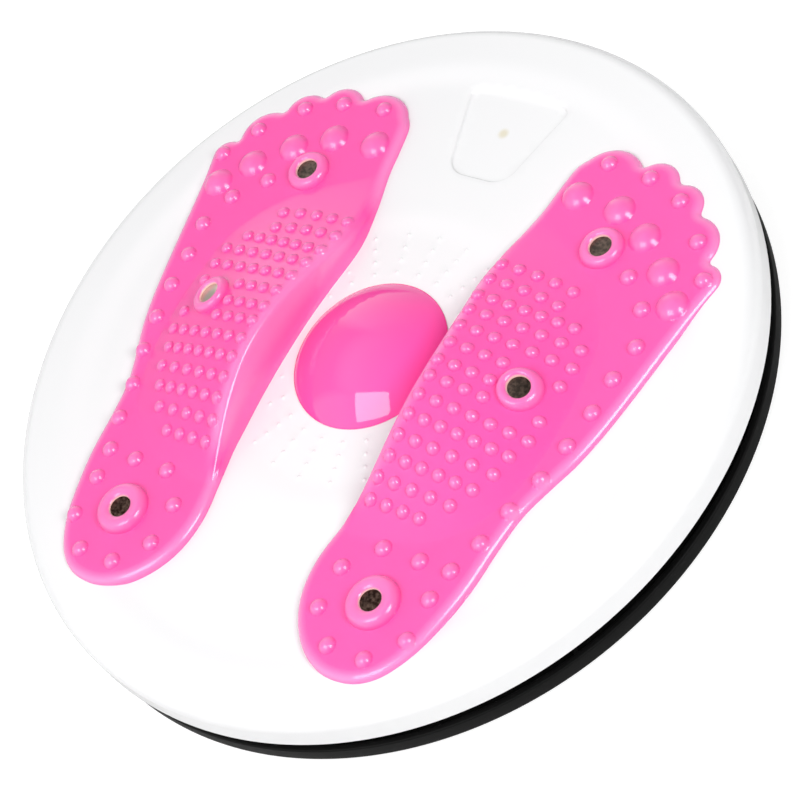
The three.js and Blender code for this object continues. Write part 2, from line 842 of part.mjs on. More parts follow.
// Centre dome: a thin cap whose spigot sits in the nut's pocket
function centreDome() {
  const outerArc = capArc(domeRadius, domeHeight - domeEdge, 4).map(([r, z]) => [r, z + wellZ + domeEdge]);
  const innerRadius = domeRadius - domeWall;
  const innerHeight = domeHeight - domeWall;
  const innerAt = (r) => wellZ + capHeightAt(innerRadius, innerHeight, r);
  const spigotOuter = nutPocketRadius - clearance;
  const spigotInner = spigotOuter - domeSpigotWall;
  const innerMiddle = (innerRadius + spigotOuter) / 2;
  return turned([
    [0, wellZ + innerHeight],
    [spigotInner / 2, innerAt(spigotInner / 2)],
    [spigotInner, innerAt(spigotInner)],
    [spigotInner, wellZ - domeSpigotDepth],
    [spigotOuter, wellZ - domeSpigotDepth],
    [spigotOuter, innerAt(spigotOuter)],
    [innerMiddle, innerAt(innerMiddle)],
    [innerRadius, wellZ],
    [domeRadius, wellZ],
    ...outerArc,
  ], domeSides);
}

// Height of a spherical cap at a radius, and points along it from the edge to the top
function capHeightAt(radius, height, r) {
  const sphere = (radius ** 2 + height ** 2) / (2 * height);
  return Math.sqrt(sphere ** 2 - r ** 2) - (sphere - height);
}

function capArc(radius, height, steps) {
  const sphere = (radius ** 2 + height ** 2) / (2 * height);
  const whole = Math.asin(radius / sphere);
  return Array.from({ length: steps + 1 }, (_, k) => {
    const r = sphere * Math.sin(whole * (1 - k / steps));
    return [r, capHeightAt(radius, height, r)];
  });
}

function rubberFoot() {
  return turned([
    [0, 0],
    [rubberFootRadius - rubberFootChamfer, 0],
    [rubberFootRadius, rubberFootChamfer],
    [rubberFootRadius, footProud + rubberFootSeat],
    [0, footProud + rubberFootSeat],
  ], roundSides);
}

// Assembly: the base stands still, the cage follows at half speed and the top turns
const waistTwistingDisc = new THREE.Group();
const baseAssembly = new THREE.Group();
const cageAssembly = new THREE.Group();
const topAssembly = new THREE.Group();
waistTwistingDisc.add(baseAssembly, cageAssembly, topAssembly);

function place(group, name, geometry, material) {
  const mesh = new THREE.Mesh(geometry, material);
  mesh.name = name;
  group.add(mesh);
  return mesh;
}

place(baseAssembly, 'base_disc', baseDisc(), blackPlastic);
place(baseAssembly, 'lower_ball_race', ballRace(false), steel);
place(baseAssembly, 'pivot_bolt', pivotBolt(), steel);
const headWasher = ring(pivotBore, washerRadius, headWasherZ, headSeatZ, roundSides);
place(baseAssembly, 'head_washer', headWasher, steel);
place(
  baseAssembly,
  'thrust_washer',
  ring(pivotBore, thrustWasherRadius, baseHubZ, baseHubZ + thrustWasherThickness, hubSides),
  naturalPlastic,
);
place(baseAssembly, 'nut_washer', ring(pivotBore, washerRadius, nutWasherZ, nutZ, roundSides), steel);
place(baseAssembly, 'lock_nut', lockNut(), steel);
rubberFootAngles().forEach((angle, k) => {
  const foot = place(baseAssembly, `rubber_foot_${k + 1}`, rubberFoot(), blackRubber);
  foot.position.set(rubberFootCircleRadius * Math.cos(angle), rubberFootCircleRadius * Math.sin(angle), 0);
});

place(cageAssembly, 'ball_cage', ballCage(), naturalPlastic);
ballAngles().forEach((angle, k) => {
  const sphere = new THREE.SphereGeometry(ballRadius, ballSides, ballBands).rotateX(Math.PI / 2);
  const ball = place(cageAssembly, `ball_${String(k + 1).padStart(2, '0')}`, sphere, steel);
  ball.position.set(ballCircleRadius * Math.cos(angle), ballCircleRadius * Math.sin(angle), ballZ);
});

const rightPad = footPad();
place(topAssembly, 'top_disc', topDisc(), whitePlastic);
place(topAssembly, 'upper_ball_race', ballRace(true), steel);
place(topAssembly, 'pivot_bush', pivotBush(), naturalPlastic);
place(topAssembly, 'centre_dome', centreDome(), pinkPlastic);
place(topAssembly, 'right_foot_pad', rightPad, pinkVinyl);
place(topAssembly, 'left_foot_pad', mirrored(rightPad), pinkVinyl);

for (const side of ['right', 'left']) {
  const across = side === 'right' ? 1 : -1;
  for (const boss of bosses) {
    const { x, y, z, lean } = bossPlace(boss);
    const lift = boss.height - magnetSink;
    const blank = cylinder(magnetRadius, lift - magnetThickness, lift, roundSides);
    const magnet = place(topAssembly, `magnet_${side}_${boss.name}`, blank, magnetBlack);
    magnet.position.set(across * x, y, z);
    magnet.rotation.y = across * lean;
  }
}

export default waistTwistingDisc;
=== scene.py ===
"""Looks of a waist twisting disc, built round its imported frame.

The white platform turns on a ball bearing over a black base and carries two massage pads in the
shape of feet. Sizes are in millimetres until a mesh is made; heights are above the floor.
"""

import logging
import math
from dataclasses import dataclass, field
from enum import Enum
from typing import Any, Optional, Sequence

import bpy
import numpy as np
from mathutils import Matrix, Quaternion, Vector
from mathutils.geometry import delaunay_2d_cdt


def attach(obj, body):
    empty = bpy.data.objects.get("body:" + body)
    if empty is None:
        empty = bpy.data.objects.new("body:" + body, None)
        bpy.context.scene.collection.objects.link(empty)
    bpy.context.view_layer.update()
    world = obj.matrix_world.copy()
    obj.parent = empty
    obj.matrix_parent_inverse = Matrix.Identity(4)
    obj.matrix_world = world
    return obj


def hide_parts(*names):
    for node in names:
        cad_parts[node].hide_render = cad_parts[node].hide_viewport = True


MM = 0.001
TOUCH = 1e-6
LOG = logging.getLogger("twisting_disc")
Pair = tuple[float, float]
Triple = tuple[float, float, float]

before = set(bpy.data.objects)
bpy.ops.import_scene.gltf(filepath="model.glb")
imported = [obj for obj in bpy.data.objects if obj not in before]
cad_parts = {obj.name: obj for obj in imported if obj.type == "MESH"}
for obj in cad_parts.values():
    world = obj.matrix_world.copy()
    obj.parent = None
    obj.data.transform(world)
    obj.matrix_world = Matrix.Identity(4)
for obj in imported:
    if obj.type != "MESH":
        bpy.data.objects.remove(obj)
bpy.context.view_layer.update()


class Body(Enum):
    """The three bodies that pieces ride on."""

    BASE = "base"
    CAGE = "cage"
    TOP = "top"


# Materials


def srgb(code: str) -> tuple[float, float, float, float]:
    """Turn a colour as a painter writes it into the linear values that a shader takes.

    Args:
        code: six hexadecimal digits after a hash.

    Returns:
        Red, green, blue and alpha from 0 to 1.
    """
    parts = [int(code[i : i + 2], 16) / 255 for i in (1, 3, 5)]
    red, green, blue = (p / 12.92 if p <= 0.04045 else ((p + 0.055) / 1.055) ** 2.4 for p in parts)
    return red, green, blue, 1.0


def per_mm(size: float) -> float:
    """Return the texture scale that draws a pattern with features of a size in millimetres."""
    return 1 / (size * MM)


def add_node(tree: Any, kind: str, links: Optional[dict] = None, **settings: Any) -> Any:
    """Add a node with its settings, values and links.

    Args:
        tree: the node tree.
        kind: the node's type.
        links: for each input's name or number, a value or an output socket to link.
        settings: properties of the node.

    Returns:
        The node.
    """
    node = tree.nodes.new(kind)
    for key, value in settings.items():
        setattr(node, key, value)
    for key, value in (links or {}).items():
        if isinstance(value, bpy.types.NodeSocket):
            tree.links.new(value, node.inputs[key])
        else:
            node.inputs[key].default_value = value
    return node


def place_in(tree: Any, output: str = "Object") -> Any:
    """Return the socket with the place on the object, or with the direction in the world."""
    return add_node(tree, "ShaderNodeTexCoord").outputs[output]


def noise(tree: Any, place: Any, size: float, **inputs: float) -> Any:
    """Return the socket of a noise pattern with features of a size in millimetres."""
    links = {"Vector": place, "Scale": per_mm(size), **inputs}
    return add_node(tree, "ShaderNodeTexNoise", links).outputs["Fac"]


def ramp(tree: Any, value: Any, span: Pair, levels: Pair = (0.0, 1.0), **settings: Any) -> Any:
    """Return the socket that goes from one level to another over a span of a value.

    Args:
        tree: the node tree.
        value: the value's socket.
        span: where the change starts and ends.
        levels: what it starts from and ends at.
        settings: properties of the node.

    Returns:
        The socket.
    """
    names = ("Value", "From Min", "From Max", "To Min", "To Max")
    links = dict(zip(names, (value, *span, *levels)))
    return add_node(tree, "ShaderNodeMapRange", links, **settings).outputs["Result"]


def tinted(tree: Any, first: Any, second: Any, share: Any) -> Any:
    """Return the socket of a colour that goes from a first to a second by a share."""
    links = {6: first, 7: second, "Factor": share}
    return add_node(tree, "ShaderNodeMix", links, data_type="RGBA").outputs[2]


def bumped(tree: Any, height: Any, strength: float, depth: float, normal: Any = None) -> Any:
    """Return the normal's socket for a height pattern of a depth in millimetres, on another one if given.

    Args:
        tree: the node tree.
        height: the pattern's socket.
        strength: how much of the bump shows, from 0 to 1.
        depth: the pattern's depth in millimetres.
        normal: the socket of a normal to build on.

    Returns:
        The socket.
    """
    links = {"Height": height, "Strength": strength, "Distance": depth * MM}
    if normal is not None:
        links["Normal"] = normal
    return add_node(tree, "ShaderNodeBump", links).outputs["Normal"]


def attribute(tree: Any, name: str) -> Any:
    """Return the socket of a value that the mesh carries at its points."""
    return add_node(tree, "ShaderNodeAttribute", attribute_name=name).outputs["Fac"]


def reckoned(tree: Any, operation: str, *values: Any) -> Any:
    """Return the socket of a sum of values or sockets."""
    return add_node(tree, "ShaderNodeMath", dict(enumerate(values)), operation=operation).outputs[0]


@dataclass(frozen=True)
class Finish:
    """A surface of the real object: what it is made of and how it was made.

    The grain is the mould's or the sheet's fine texture, the waves are slow and bend reflections,
    and the gloss, and the colour where a second one is given, differ in patches.
    """

    name: str
    colour: str
    roughness: float
    ior: float = 1.5
    metallic: float = 0.0
    grain: float = 1.0
    grain_height: float = 0.01
    grain_detail: float = 3.0
    grain_roughness: float = 0.55
    grain_strength: float = 0.35
    wave: float = 0.0
    wave_height: float = 0.0
    wave_strength: float = 0.6
    specular: float = 0.5
    mottle: str = ""
    mottle_size: float = 12.0
    patch_detail: float = 4.0
    patch_span: Pair = (0.3, 0.7)
    roughness_spread: float = 0.02

    def begin(self) -> tuple[Any, Any, Any]:
        """Make the material with its colour, gloss and moulded or pressed surface.

        Returns:
            The material, its node tree and the shader node.
        """
        material = bpy.data.materials.new(self.name)
        material.use_nodes = True
        tree = material.node_tree
        shader = tree.nodes["Principled BSDF"]
        shader.inputs["Base Color"].default_value = srgb(self.colour)
        shader.inputs["Metallic"].default_value = self.metallic
        if not self.metallic:
            shader.inputs["IOR"].default_value = self.ior
            shader.inputs["Specular IOR Level"].default_value = self.specular
        place = place_in(tree)
        grain = noise(tree, place, self.grain, Detail=self.grain_detail, Roughness=self.grain_roughness)
        normal = bumped(tree, grain, self.grain_strength, self.grain_height)
        if self.wave:
            wave = noise(tree, place, self.wave, Detail=1.0)
            normal = bumped(tree, wave, self.wave_strength, self.wave_height, normal)
        patches = noise(tree, place, self.mottle_size, Detail=self.patch_detail)
        limits = (self.roughness - self.roughness_spread, self.roughness + self.roughness_spread)
        tree.links.new(normal, shader.inputs["Normal"])
        tree.links.new(ramp(tree, patches, self.patch_span, limits), shader.inputs["Roughness"])
        if self.mottle:
            tint = tinted(tree, srgb(self.colour), srgb(self.mottle), patches)
            tree.links.new(tint, shader.inputs["Base Color"])
        return material, tree, shader

    def material(self) -> Any:
        """Make the whole material."""
        return self.begin()[0]


@dataclass(frozen=True)
class PlatformFinish(Finish):
    """White ABS, injection moulded in a polished mould: glossy, with the gate's mark left in it."""

    gate_colour: str = "#E0DAC6"
    gate_place: Triple = (0.5, 95.6, 27.1)
    gate_edge: Pair = (0.66, 2.86)

    def material(self) -> Any:
        """Make the whole material.

        Returns:
            The material.
        """
        material, tree, shader = self.begin()
        centre = tuple(c * MM for c in self.gate_place)
        away = add_node(tree, "ShaderNodeVectorMath", {0: place_in(tree), 1: centre}, operation="DISTANCE")
        edge = (self.gate_edge[0] * MM, self.gate_edge[1] * MM)
        mark = ramp(tree, away.outputs["Value"], edge, (1.0, 0.0), interpolation_type="SMOOTHSTEP")
        tint = tinted(tree, srgb(self.colour), srgb(self.gate_colour), mark)
        tree.links.new(tint, shader.inputs["Base Color"])
        return material


@dataclass(frozen=True)
class VinylFinish(Finish):
    """Soft PVC, moulded and glossy: light goes a little way into it, and a paler pink is painted on as light
    where it would glow through the vinyl and catch its edges.
    """

    # Painted light: the paler pink that nubs, bosses, rims and the arch's ridge are painted, standing in for
    # light through the vinyl and for its sheen.
    thin_colour: str = "#FF9AD2"
    # Painted highlight: the pale peach that each window's rim is painted, for the light that the rim catches.
    lip_colour: str = "#FFCDC4"
    scatter: float = 0.2
    scatter_depth: float = 0.9
    scatter_radii: Triple = (1.0, 0.5, 0.7)
    bloom: float = 0.06
    bloom_roughness: float = 0.4
    skin_gloss: float = 0.45
    skin_roughness: float = 0.15

    def material(self) -> Any:
        """Make the whole material.

        Returns:
            The material.
        """
        material, tree, shader = self.begin()
        depths = {
            "Subsurface Weight": self.scatter,
            "Subsurface Scale": self.scatter_depth * MM,
            "Subsurface Radius": self.scatter_radii,
            "Sheen Weight": self.bloom,
            "Sheen Roughness": self.bloom_roughness,
            "Coat Weight": self.skin_gloss,
            "Coat Roughness": self.skin_roughness,
        }
        for name, value in depths.items():
            shader.inputs[name].default_value = value
        # Painted light: a share that the mesh carries paints the pink paler.
        paler = tinted(tree, srgb(self.colour), srgb(self.thin_colour), attribute(tree, "thin"))
        # Painted highlight: the lip share paints each window's rim a pale peach.
        peach = tinted(tree, paler, srgb(self.lip_colour), attribute(tree, "lip"))
        tree.links.new(peach, shader.inputs["Base Color"])
        return material


@dataclass(frozen=True)
class FerriteFinish(Finish):
    """Dark sintered ferrite, ground flat: brown-black, and painted pale as a painted reflection where a lamp
    would show in a magnet.
    """

    # Painted reflection: the pale colour that a magnet is painted where a lamp would show in it.
    painted_reflection_colour: str = "#D2C9BC"
    spot_colour: str = "#67534A"
    spot_detail: float = 3.0
    spot_span: Pair = (0.38, 0.68)

    def material(self) -> Any:
        """Make the whole material.

        Returns:
            The material.
        """
        material, tree, shader = self.begin()
        specks = noise(tree, place_in(tree), self.mottle_size, Detail=self.spot_detail)
        dark = tinted(tree, srgb(self.colour), srgb(self.spot_colour), ramp(tree, specks, self.spot_span))
        # Painted reflection: paler by the share that the mesh carries.
        tint = tinted(tree, dark, srgb(self.painted_reflection_colour), attribute(tree, "painted_reflection"))
        tree.links.new(tint, shader.inputs["Base Color"])
        return material


# Clean white with clear reflections that bend a little.
WHITE_ABS = PlatformFinish(
    "white ABS, polished mould", "#EEEEEF", 0.14, 1.54,
    grain=0.6, grain_height=0.004, wave=26.0, wave_height=0.12,
)
# Full pink with soft highlights, and painted light that makes it paler on its nubs, bosses, rims and arch
# ridge.
PINK_VINYL = VinylFinish(
    "pink PVC, soft moulded", "#FF57AD", 0.24, 1.42,
    grain=0.9, grain_height=0.01, wave=9.0, wave_height=0.03,
)
# The same pink, hard and so glossy that the lamps show as clear shapes.
PINK_ABS = Finish(
    "pink ABS, polished mould", "#FF56AC", 0.05, 1.54,
    grain=0.8, grain_height=0.003, wave=14.0, wave_height=0.03,
)
# Deep black that hardly shines.
BLACK_ABS = Finish(
    "black polypropylene, matt mould", "#0B0B0B", 0.5, 1.49,
    specular=0.08, grain=0.45, grain_height=0.05, mottle="#111111",
)
# Dull black, a little uneven.
BLACK_RUBBER = Finish(
    "black rubber, moulded", "#131313", 0.8, 1.52, grain=0.7, grain_height=0.08, mottle="#1C1B1A"
)
# Warm, pale and half matt.
NATURAL_ACETAL = Finish("natural acetal, moulded", "#E6E1D3", 0.4, 1.48, grain=0.8, grain_height=0.02)
# Grey metal with blurred reflections.
PRESSED_STEEL = Finish(
    "zinc-plated steel, pressed", "#B4B8BC", 0.28,
    metallic=1.0, grain=0.3, grain_height=0.01, mottle="#A2A8AE",
)
# Bright metal with sharp reflections.
BALL_STEEL = Finish(
    "bearing steel, polished", "#C9CBCE", 0.06, metallic=1.0, grain=0.3, grain_height=0.001
)
# Brown-black with a metal's gleam and small specks, and a painted reflection that makes some magnets pale.
FERRITE = FerriteFinish(
    "ferrite, sintered and ground", "#2C1D18", 0.3,
    metallic=1.0, grain=0.5, grain_height=0.03, mottle_size=1.3,
)


# Modelling


def only(obj: Any) -> Any:
    """Select one object alone and make it active.

    Args:
        obj: the object.

    Returns:
        The same object.
    """
    bpy.ops.object.select_all(action="DESELECT")
    obj.select_set(True)
    bpy.context.view_layer.objects.active = obj
    return obj


def bend(centre: Pair, radius: float, angles: Sequence[float]) -> list[Pair]:
    """Return points round a centre at angles in radians."""
    return [(centre[0] + radius * math.cos(a), centre[1] + radius * math.sin(a)) for a in angles]


def arc(centre: Pair, radius: float, start: float, end: float, steps: int) -> list[Pair]:
    """Return points of an arc of a profile.

    Args:
        centre: radius and height of the arc's centre.
        radius: the arc's own radius.
        start: first angle in degrees, from the outward direction upwards.
        end: last angle in degrees.
        steps: number of pieces.

    Returns:
        Pairs of radius and height.
    """
    return bend(centre, radius, [math.radians(start + (end - start) * k / steps) for k in range(steps + 1)])


def lathe(profile: Sequence[Pair], steps: int, closed: bool = True) -> Any:
    """Turn a profile about the pivot: a circle is extruded and scaled from point to point.

    Args:
        profile: pairs of radius and height; a radius of zero closes the form on the axis.
        steps: number of sides.
        closed: whether the last loop joins the first one.

    Returns:
        The object.
    """
    points = [(r * MM, z * MM) for r, z in profile]
    capped_start = points[0][0] == 0
    capped_end = points[-1][0] == 0
    points = points[int(capped_start) : len(points) - int(capped_end)]
    bpy.ops.object.select_all(action="DESELECT")
    fill = "NGON" if capped_start else "NOTHING"
    bpy.ops.mesh.primitive_circle_add(vertices=steps, radius=points[0][0], fill_type=fill, location=(0, 0, 0))
    obj = bpy.context.object
    bpy.ops.object.mode_set(mode="EDIT")
    bpy.ops.mesh.select_mode(type="EDGE")
    bpy.ops.mesh.select_all(action="SELECT")
    bpy.ops.transform.translate(value=(0, 0, points[0][1]))
    for (r0, z0), (r1, z1) in zip(points, points[1:]):
        bpy.ops.mesh.extrude_edges_move(TRANSFORM_OT_translate={"value": (0, 0, z1 - z0)})
        if r1 != r0:
            bpy.ops.transform.resize(value=(r1 / r0, r1 / r0, 1), center_override=(0, 0, 0))
    if capped_end:
        bpy.ops.mesh.edge_face_add()
    if closed and not capped_start and not capped_end:
        bpy.ops.mesh.select_all(action="DESELECT")
        bpy.ops.object.mode_set(mode="OBJECT")
        for edge in obj.data.edges:
            edge.select = any(lies_on(obj.data, edge, loop) for loop in (points[0], points[-1]))
        bpy.ops.object.mode_set(mode="EDIT")
        bpy.ops.mesh.bridge_edge_loops()
    bpy.ops.object.mode_set(mode="OBJECT")
    face_outwards(obj)
    return obj


def lies_on(mesh: Any, edge: Any, loop: Pair) -> bool:
    """Tell whether an edge lies along a level loop of a radius and a height in metres."""
    ends = [mesh.vertices[i].co for i in edge.vertices]
    return all(abs(math.hypot(v.x, v.y) - loop[0]) < TOUCH and abs(v.z - loop[1]) < TOUCH for v in ends)


def face_outwards(obj: Any, merge: float = TOUCH) -> None:
    """Merge points closer than a distance in metres and turn all faces of a closed form outwards.

    Args:
        obj: the object.
        merge: the distance.
    """
    only(obj)
    bpy.ops.object.mode_set(mode="EDIT")
    bpy.ops.mesh.select_all(action="SELECT")
    bpy.ops.mesh.remove_doubles(threshold=merge)
    bpy.ops.mesh.normals_make_consistent(inside=False)
    bpy.ops.object.mode_set(mode="OBJECT")


def cylinder(radius: float, depth: float, place: Sequence[float], sides: int) -> Any:
    """Add an upright cylinder.

    Args:
        radius: its radius in millimetres.
        depth: its height in millimetres.
        place: where its middle is, in millimetres.
        sides: number of sides.

    Returns:
        The object.
    """
    bpy.ops.object.select_all(action="DESELECT")
    bpy.ops.mesh.primitive_cylinder_add(
        vertices=sides, radius=radius * MM, depth=depth * MM, location=[c * MM for c in place]
    )
    return bpy.context.object


def bevel(obj: Any, width: float, segments: int = 2, angle: float = 40.0) -> None:
    """Round the edges of an object that are sharper than an angle.

    Args:
        obj: the object.
        width: the bevel's width in millimetres.
        segments: pieces of the rounding.
        angle: the angle in degrees.
    """
    only(obj)
    modifier = obj.modifiers.new("round edges", "BEVEL")
    modifier.width = width * MM
    modifier.segments = segments
    modifier.limit_method = "ANGLE"
    modifier.angle_limit = math.radians(angle)
    bpy.ops.object.modifier_apply(modifier=modifier.name)


def combine(obj: Any, other: Any, operation: str = "DIFFERENCE") -> None:
    """Cut another object out of one, or add it to it, and delete the other.

    Args:
        obj: the object that changes.
        other: the object that is used up.
        operation: the boolean operation.
    """
    only(obj)
    modifier = obj.modifiers.new("combine", "BOOLEAN")
    modifier.operation = operation
    modifier.solver = "EXACT"
    modifier.object = other
    bpy.ops.object.modifier_apply(modifier=modifier.name)
    bpy.data.objects.remove(other)


def join(pieces: Sequence[Any]) -> Any:
    """Join objects into the first of them.

    Args:
        pieces: the objects.

    Returns:
        The first object.
    """
    only(pieces[0])
    for piece in pieces:
        piece.select_set(True)
    bpy.ops.object.join()
    return pieces[0]


def smooth(obj: Any, angle: float) -> None:
    """Shade an object smooth, but for edges sharper than an angle in degrees."""
    only(obj)
    bpy.ops.object.shade_smooth_by_angle(angle=math.radians(angle))


def settle(obj: Any) -> None:
    """Move an object's place, turn and scale into its mesh."""
    only(obj)
    bpy.ops.object.transform_apply(location=True, rotation=True, scale=True)


def copy_of(obj: Any) -> Any:
    """Copy an object with a mesh of its own.

    Args:
        obj: the object.

    Returns:
        The copy.
    """
    twin = obj.copy()
    twin.data = obj.data.copy()
    bpy.context.scene.collection.objects.link(twin)
    return twin


def copies_at(model: Any, places: np.ndarray, height: float) -> list[Any]:
    """Copy a model to places on the plan and delete it.

    Args:
        model: the object, modelled on the pivot.
        places: where the copies stand, in millimetres.
        height: how far they are raised, in millimetres.

    Returns:
        The copies.
    """
    made = []
    for x, y in places:
        twin = copy_of(model)
        twin.location = (x * MM, y * MM, height * MM)
        settle(twin)
        made.append(twin)
    bpy.data.objects.remove(model)
    return made


def dress(obj: Any, name: str, material: Any, body: Body, node: str, slot: str) -> None:
    """Give a finished piece its name, its material, its body and the node that it stands for.

    Args:
        obj: the piece.
        name: its name.
        material: its material.
        body: the body that it rides on.
        node: the node that it replaces.
        slot: the record's material slot that it belongs to; not used.
    """
    obj.name = name
    obj.data.materials.clear()
    obj.data.materials.append(material)
    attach(obj, body.value)
    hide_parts(node)
    LOG.info("%s: %d faces in place of %s", obj.name, len(obj.data.polygons), node)


class Skin:
    """A moulded surface seen from above: loops and points that are joined into triangles.

    It carries relief that no operator makes cleanly, such as nubs on a curved arch, so its points are placed
    where the relief bends and are then lifted to their heights.
    """

    def __init__(self) -> None:
        """Start with no points."""
        self.points: list[Pair] = []
        self.edges: list[tuple[int, int]] = []

    def add_loop(self, loop: np.ndarray, closed: bool = True) -> list[int]:
        """Add a line that the triangles keep.

        Args:
            loop: its points in millimetres.
            closed: whether its end joins its start.

        Returns:
            The numbers of its points.
        """
        first = len(self.points)
        count = len(loop)
        self.add_points(loop)
        last = count if closed else count - 1
        self.edges.extend((first + k, first + (k + 1) % count) for k in range(last))
        return list(range(first, first + count))

    def add_points(self, points: np.ndarray) -> None:
        """Add loose points."""
        self.points.extend(map(tuple, points))

    def triangles(self) -> tuple[np.ndarray, list, dict[int, int]]:
        """Join the points, inside the outermost loop.

        Returns:
            The points, the triangles and, for each point that was added, its final number.
        """
        flat = [Vector(p) for p in self.points]
        out = delaunay_2d_cdt(flat, self.edges, [], 1, 1e-5)
        where = {old: new for new, olds in enumerate(out[3]) for old in olds}
        return np.array([tuple(p) for p in out[0]]), [tuple(t) for t in out[2]], where


def mesh_from(name: str, points: np.ndarray, faces: Sequence[Sequence[int]]) -> Any:
    """Make an object of points in millimetres and faces.

    Args:
        name: the mesh's name.
        points: the points.
        faces: the numbers of each face's points.

    Returns:
        The object.
    """
    mesh = bpy.data.meshes.new(name)
    mesh.from_pydata((points * MM).tolist(), [], [list(f) for f in faces])
    mesh.validate()
    obj = bpy.data.objects.new(name, mesh)
    bpy.context.scene.collection.objects.link(obj)
    return obj


def colour_by(obj: Any, name: str, values: np.ndarray) -> None:
    """Let a mesh carry a value at each of its points, for its material."""
    carried = obj.data.attributes.new(name, "FLOAT", "POINT")
    carried.data.foreach_set("value", values.astype(np.float32))


def smoothstep(x: np.ndarray, low: float, high: float) -> np.ndarray:
    """Rise smoothly from 0 at low to 1 at high."""
    t = np.clip((x - low) / (high - low), 0, 1)
    return t * t * (3 - 2 * t)


def soft_max(a: np.ndarray, blend: float) -> np.ndarray:
    """Return the values above zero, with a fillet of about a width where they meet it."""
    return np.maximum(a, 0) + np.maximum(blend - np.abs(a), 0) ** 2 / (4 * blend)


def quarter(share: np.ndarray) -> np.ndarray:
    """Return how far a quarter circle has fallen, from 0 to 1, at shares of its run."""
    return 1 - np.sqrt(np.maximum(1 - share**2, 0))


def nearest(points: np.ndarray, loop: np.ndarray) -> np.ndarray:
    """Return the distance of each point from a closed loop.

    Args:
        points: the points.
        loop: the loop's points.

    Returns:
        The distances.
    """
    best = np.full(len(points), np.inf)
    for a, b in zip(loop, np.roll(loop, -1, axis=0)):
        side = b - a
        t = np.clip(((points - a) @ side) / (side @ side), 0, 1)
        gap = points - a - t[:, None] * side
        best = np.minimum(best, np.einsum("ij,ij->i", gap, gap))
    return np.sqrt(best)


def inside(points: np.ndarray, loop: np.ndarray) -> np.ndarray:
    """Tell which points lie inside a closed loop.

    Args:
        points: the points.
        loop: the loop's points.

    Returns:
        True for each point inside.
    """
    result = np.zeros(len(points), bool)
    for a, b in zip(loop, np.roll(loop, -1, axis=0)):
        crosses = (a[1] > points[:, 1]) != (b[1] > points[:, 1])
        if crosses.any():
            x = a[0] + (points[:, 1] - a[1]) * (b[0] - a[0]) / (b[1] - a[1])
            result ^= crosses & (points[:, 0] < x)
    return result


def inset(loop: np.ndarray, distance: float) -> np.ndarray:
    """Move a counter-clockwise loop of close points inwards.

    Args:
        loop: the loop's points.
        distance: how far to move.

    Returns:
        The moved points.
    """
    along = np.roll(loop, -1, axis=0) - np.roll(loop, 1, axis=0)
    normal = np.stack([-along[:, 1], along[:, 0]], axis=1)
    return loop + distance * normal / np.linalg.norm(normal, axis=1)[:, None]


def ring(radius: float, count: int, turn: float = 0.0, centre: Sequence[float] = (0, 0)) -> np.ndarray:
    """Return points round a circle, the first of them turned by a share of their spacing."""
    angle = 2 * math.pi * (np.arange(count) + turn) / count
    return np.stack([centre[0] + radius * np.cos(angle), centre[1] + radius * np.sin(angle)], axis=1)


def hexagonal_grid(low: Sequence[float], high: Sequence[float], pitch: float) -> np.ndarray:
    """Return points of an even grid between two corners.

    Args:
        low: the lower left corner.
        high: the upper right corner.
        pitch: the spacing.

    Returns:
        The points.
    """
    rows = []
    for k, y in enumerate(np.arange(low[1], high[1], pitch * math.sqrt(3) / 2)):
        x = np.arange(low[0] + (k % 2) * pitch / 2, high[0], pitch)
        rows.append(np.stack([x, np.full(len(x), y)], axis=1))
    return np.concatenate(rows)


def spline(knots: Sequence[np.ndarray], count: int) -> np.ndarray:
    """Draw a smooth line through knots, with as many points as asked.

    Args:
        knots: the knots.
        count: how many points to return.

    Returns:
        The line's points.
    """
    knots = np.array(knots)
    last = len(knots) - 1
    place = np.linspace(0, last, count)
    k = np.minimum(place.astype(int), last - 1)
    t = (place - k)[:, None]
    p0, p1 = knots[np.maximum(k - 1, 0)], knots[k]
    p2, p3 = knots[k + 1], knots[np.minimum(k + 2, last)]
    v0, v1 = (p2 - p0) / 2, (p3 - p1) / 2
    return (2 * p1 - 2 * p2 + v0 + v1) * t**3 + (3 * p2 - 3 * p1 - 2 * v0 - v1) * t**2 + v0 * t + p1


def evenly(line: np.ndarray, step: float) -> np.ndarray:
    """Space the points of a closed line evenly.

    Args:
        line: the line's points.
        step: about how far apart they end.

    Returns:
        The new points.
    """
    closed = np.vstack([line, line[:1]])
    run = np.concatenate([[0], np.cumsum(np.linalg.norm(np.diff(closed, axis=0), axis=1))])
    place = np.linspace(0, run[-1], int(run[-1] / step), endpoint=False)
    return np.stack([np.interp(place, run, closed[:, i]) for i in (0, 1)], axis=1)


# Foot pads


